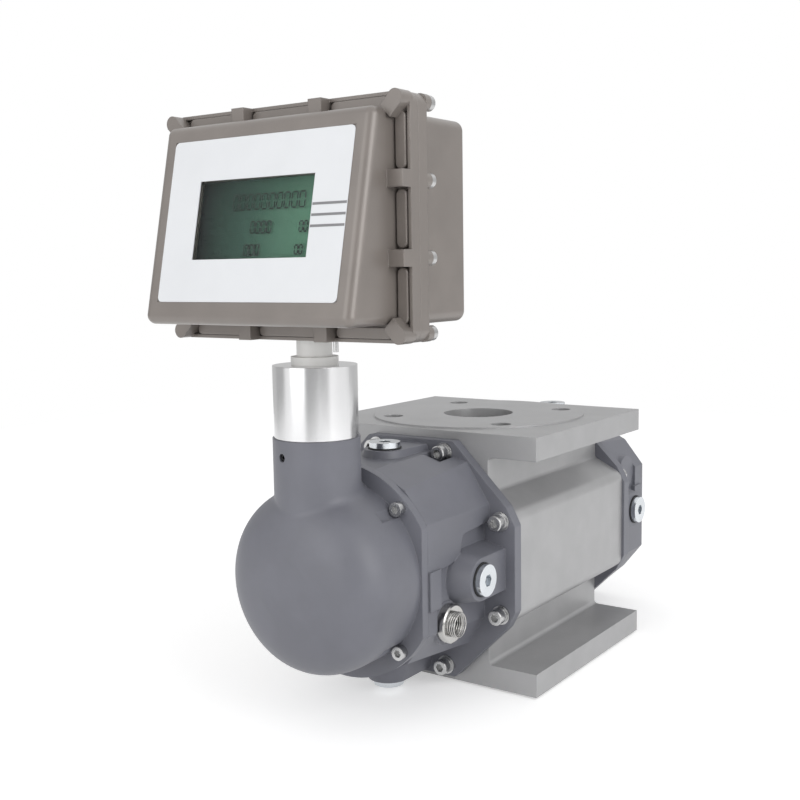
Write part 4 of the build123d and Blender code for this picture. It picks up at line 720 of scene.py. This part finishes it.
# Raised bars with round ends between the bolt pads, in the recess of the lid's flange
barShape = dict(cornerSteps=6, crownScale=0.97)
lidBar, given, out = newTree(
    "lidBar",
    {"Length": 30 * mm, "Width": 6.2 * mm, "Round": 3.0 * mm, "Height": 4 * mm, "Slant": 0.5 * mm},
)
outline = put(
    lidBar, "GeometryNodeCurvePrimitiveQuadrilateral", {"Width": given["Length"], "Height": given["Width"]}
).outputs[0]
softened = put(
    lidBar,
    "GeometryNodeFilletCurve",
    {"Curve": outline, "Radius": given["Round"], "Count": barShape["cornerSteps"]},
    mode="POLY",
).outputs[0]
footprint = put(lidBar, "GeometryNodeFillCurve", {0: softened}, mode="NGONS").outputs[0]
wallHeight = maths(lidBar, "SUBTRACT", given["Height"], given["Slant"])
raised = put(
    lidBar,
    "GeometryNodeExtrudeMesh",
    {"Mesh": footprint, "Offset Scale": wallHeight, "Individual": False},
    mode="FACES",
)
crowned = put(
    lidBar,
    "GeometryNodeExtrudeMesh",
    {"Mesh": raised.outputs["Mesh"], "Selection": raised.outputs["Top"], "Offset Scale": given["Slant"],
     "Individual": False},
    mode="FACES",
)
drawnIn = put(
    lidBar, "GeometryNodeScaleElements",
    {"Geometry": crowned.outputs["Mesh"], "Selection": crowned.outputs["Top"], "Scale": barShape["crownScale"]},
)
facing = put(lidBar, "GeometryNodeInputNamedAttribute", {"Name": "facing"}, data_type="FLOAT_VECTOR").outputs[0]
standing = put(lidBar, "GeometryNodeInputNamedAttribute", {"Name": "upright"}, data_type="FLOAT").outputs[0]
aimed = put(lidBar, "FunctionNodeAlignRotationToVector", {"Vector": facing}, axis="Z").outputs[0]
placed = put(
    lidBar,
    "GeometryNodeInstanceOnPoints",
    {"Points": given["Geometry"], "Instance": drawnIn.outputs[0], "Rotation": aimed},
).outputs[0]
turn = put(lidBar, "ShaderNodeCombineXYZ", {2: maths(lidBar, "MULTIPLY", standing, pi / 2)}).outputs[0]
turned = put(
    lidBar, "GeometryNodeRotateInstances", {"Instances": placed, "Rotation": turn, "Local Space": True}
).outputs[0]
endTree(lidBar, turned, given, out)

# Each row of bars: length, places to both sides and up from the middle of the lid in mm, and whether they stand
lidBars = dict(seat=-203.4, middle=302.0, rows=(
    dict(length=29.6, across=79.2, up=(-40.2, 40.2), upright=1.0),
    dict(length=30.6, across=79.2, up=(0.0,), upright=1.0),
    dict(length=38.0, across=53.0, up=(-60.2, 60.2), upright=0.0),
    dict(length=45.4, across=0.0, up=(-60.2, 60.2), upright=0.0),
))
barSets = []
for row in lidBars["rows"]:
    spots = [
        Vector((side * row["across"], lidBars["seat"], lidBars["middle"] + up)) * mm
        for side in ((-1, 1) if row["across"] else (1,)) for up in row["up"]
    ]
    barSets.append(grow(
        "barRow", lidBar, {"Length": row["length"] * mm}, "boxPaint", spots, [(0, -1, 0)] * len(spots),
        {"upright": [row["upright"]] * len(spots)},
    ))
lidBarSet = joinPieces("lidBarSet", barSets)
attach(lidBarSet, "head")
print("lid bars raised")

# Printed lines from the window to the edge of the label
printedLines = dict(left=42.0, right=64.6, heights=(5.9, 0.0, -5.9), width=1.4, thickness=0.05, clear=0.02)
lineMesh = bmesh.new()
for height in printedLines["heights"]:
    corners = []
    left, right = printedLines["left"], printedLines["right"]
    low, high = height - printedLines["width"] / 2, height + printedLines["width"] / 2
    for out in (printedLines["clear"], printedLines["thickness"] + printedLines["clear"]):
        for across, up in ((left, low), (right, low), (right, high), (left, high)):
            corners.append(lineMesh.verts.new(onFace(across, up, out)))
    for face in ((3, 2, 1, 0), (4, 5, 6, 7), (0, 1, 5, 4), (1, 2, 6, 5), (2, 3, 7, 6), (3, 0, 4, 7)):
        lineMesh.faces.new([corners[i] for i in face])
mesh = bpy.data.meshes.new("labelLines")
lineMesh.to_mesh(mesh)
lineMesh.free()
mesh.materials.append(materials["labelInk"])
labelLines = bpy.data.objects.new("labelLines", mesh)
bpy.context.collection.objects.link(labelLines)
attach(labelLines, "head")
print("label printed")

# Studio: white surroundings, two soft lamps, and walls shaded by compass direction for what bright metal mirrors
studio = dict(
    worldLight=0.72,
    keyPower=4.0,
    fillPower=8.0,
    floorTint=(238, 238, 238),
    floorLift=0.4,
    floorRough=0.9,
    floorSize=1.3,
    floorDrop=0.0002,
    overhead=(0.25, 0.6),
    lampSize=1.0,
    keySpot=(-0.2, -1.4, 0.55),
    fillSpot=(1.4, -0.4, 0.7),
    lampAim=(0.0, -0.05, 0.18),
    walls=((0.0, 0.5), (1.0, 0.6), (0.09, 0.45), (0.13, 1.0), (0.26, 1.0), (0.3, 0.42), (0.44, 0.42), (0.48, 1.0),
           (0.6, 1.0), (0.67, 0.6)),
)
world = bpy.data.worlds.new("studioWorld")
bpy.context.scene.world = world
world.use_nodes = True
tree = world.node_tree
rays = put(tree, "ShaderNodeLightPath")
seen = maths(
    tree,
    "MAXIMUM",
    rays.outputs["Is Camera Ray"],
    maths(tree, "MAXIMUM", rays.outputs["Is Glossy Ray"], rays.outputs["Is Transmission Ray"]),
)
background = tree.nodes["Background"]
# Polished metal mirrors a white studio with softly shaded walls: grey by compass direction, white overhead
looking = put(tree, "ShaderNodeSeparateXYZ", {0: put(tree, "ShaderNodeTexCoord").outputs["Generated"]})
compass = maths(tree, "DIVIDE", maths(tree, "ARCTAN2", looking.outputs[1], looking.outputs[0]), 2 * pi)
walls = put(tree, "ShaderNodeValToRGB", {0: maths(tree, "ADD", compass, 0.5)})
walls.color_ramp.interpolation = "EASE"
for element, (spot, grey) in zip(walls.color_ramp.elements, studio["walls"]):
    element.position, element.color = spot, (grey, grey, grey, 1)
for spot, grey in studio["walls"][2:]:
    walls.color_ramp.elements.new(spot).color = (grey, grey, grey, 1)
overhead = remap(tree, looking.outputs[2], *studio["overhead"], 0.0, 1.0)
mirrored = blendColour(tree, overhead, walls.outputs[0], (1, 1, 1, 1))
tree.links.new(blendColour(tree, rays.outputs["Is Glossy Ray"], (1, 1, 1, 1), mirrored), background.inputs["Color"])
tree.links.new(remap(tree, seen, 0.0, 1.0, studio["worldLight"], 1.0), background.inputs["Strength"])


def stageSheet(name, corners, material):
    mesh = bpy.data.meshes.new(name)
    mesh.from_pydata([tuple(c) for c in corners], [], [(0, 1, 2, 3)])
    sheet = bpy.data.objects.new(name, mesh)
    sheet.data.materials.append(material)
    bpy.context.collection.objects.link(sheet)
    sheet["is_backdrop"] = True


floorMaterial = bpy.data.materials.new("studioFloor")
floorMaterial.use_nodes = True
tree = floorMaterial.node_tree
shader = tree.nodes["Principled BSDF"]
shader.inputs["Roughness"].default_value = studio["floorRough"]
shader.inputs["Specular IOR Level"].default_value = 0.0
shader.inputs["Base Color"].default_value = colour(*studio["floorTint"])
shader.inputs["Emission Color"].default_value = (1, 1, 1, 1)
floorRays = put(tree, "ShaderNodeLightPath")
floorSeen = maths(
    tree,
    "MAXIMUM",
    floorRays.outputs["Is Camera Ray"],
    maths(tree, "MAXIMUM", floorRays.outputs["Is Glossy Ray"], floorRays.outputs["Is Transmission Ray"]),
)
tree.links.new(maths(tree, "MULTIPLY", floorSeen, studio["floorLift"]), shader.inputs["Emission Strength"])
reach, drop = studio["floorSize"], -studio["floorDrop"]
stageSheet(
    "studioFloor",
    [(-reach, -reach, drop), (reach, -reach, drop), (reach, reach, drop), (-reach, reach, drop)],
    floorMaterial,
)


def softLamp(name, spot, target, size, power):
    light = bpy.data.lights.new(name, "AREA")
    light.size = size
    light.energy = power
    lamp = bpy.data.objects.new(name, light)
    lamp.location = spot
    lamp.rotation_euler = (Vector(target) - Vector(spot)).to_track_quat("-Z", "Y").to_euler()
    bpy.context.collection.objects.link(lamp)


softLamp("keyLamp", studio["keySpot"], studio["lampAim"], studio["lampSize"], studio["keyPower"])
softLamp("fillLamp", studio["fillSpot"], studio["lampAim"], studio["lampSize"], studio["fillPower"])

# Camera at the photograph's place, in metres and degrees: about 50 mm on a 36 mm sensor, looking slightly down
shot = dict(spot=(0.415, -0.689, 0.277), yaw=35.11, pitch=6.82, roll=-0.94, focal=1113.0, frameWidth=800.0, sensor=36.0,
            nearest=0.01)
yaw, pitch, roll = (radians(shot[key]) for key in ("yaw", "pitch", "roll"))
level = Vector((-sin(yaw), cos(yaw), 0))
ahead = level * cos(pitch) - Vector((0, 0, sin(pitch)))
above = Vector((0, 0, cos(pitch))) + level * sin(pitch)
right = Vector((cos(yaw), sin(yaw), 0))
turnedRight = right * cos(roll) + above * sin(roll)
turnedUp = above * cos(roll) - right * sin(roll)
lens = bpy.data.cameras.new("photoCamera")
lens.sensor_width = shot["sensor"]
lens.lens = shot["focal"] * shot["sensor"] / shot["frameWidth"]
lens.clip_start = shot["nearest"]
camera = bpy.data.objects.new("photoCamera", lens)
axes = Matrix((turnedRight, turnedUp, -ahead)).transposed()
camera.matrix_world = Matrix.Translation(Vector(shot["spot"])) @ axes.to_4x4()
bpy.context.collection.objects.link(camera)
bpy.context.scene.camera = camera
bpy.context.scene.view_settings.view_transform = "Standard"
print("studio and camera ready")

sizes = {"cad": [list(corner) for corner in cadBox], "visual": [list(corner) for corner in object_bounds()]}
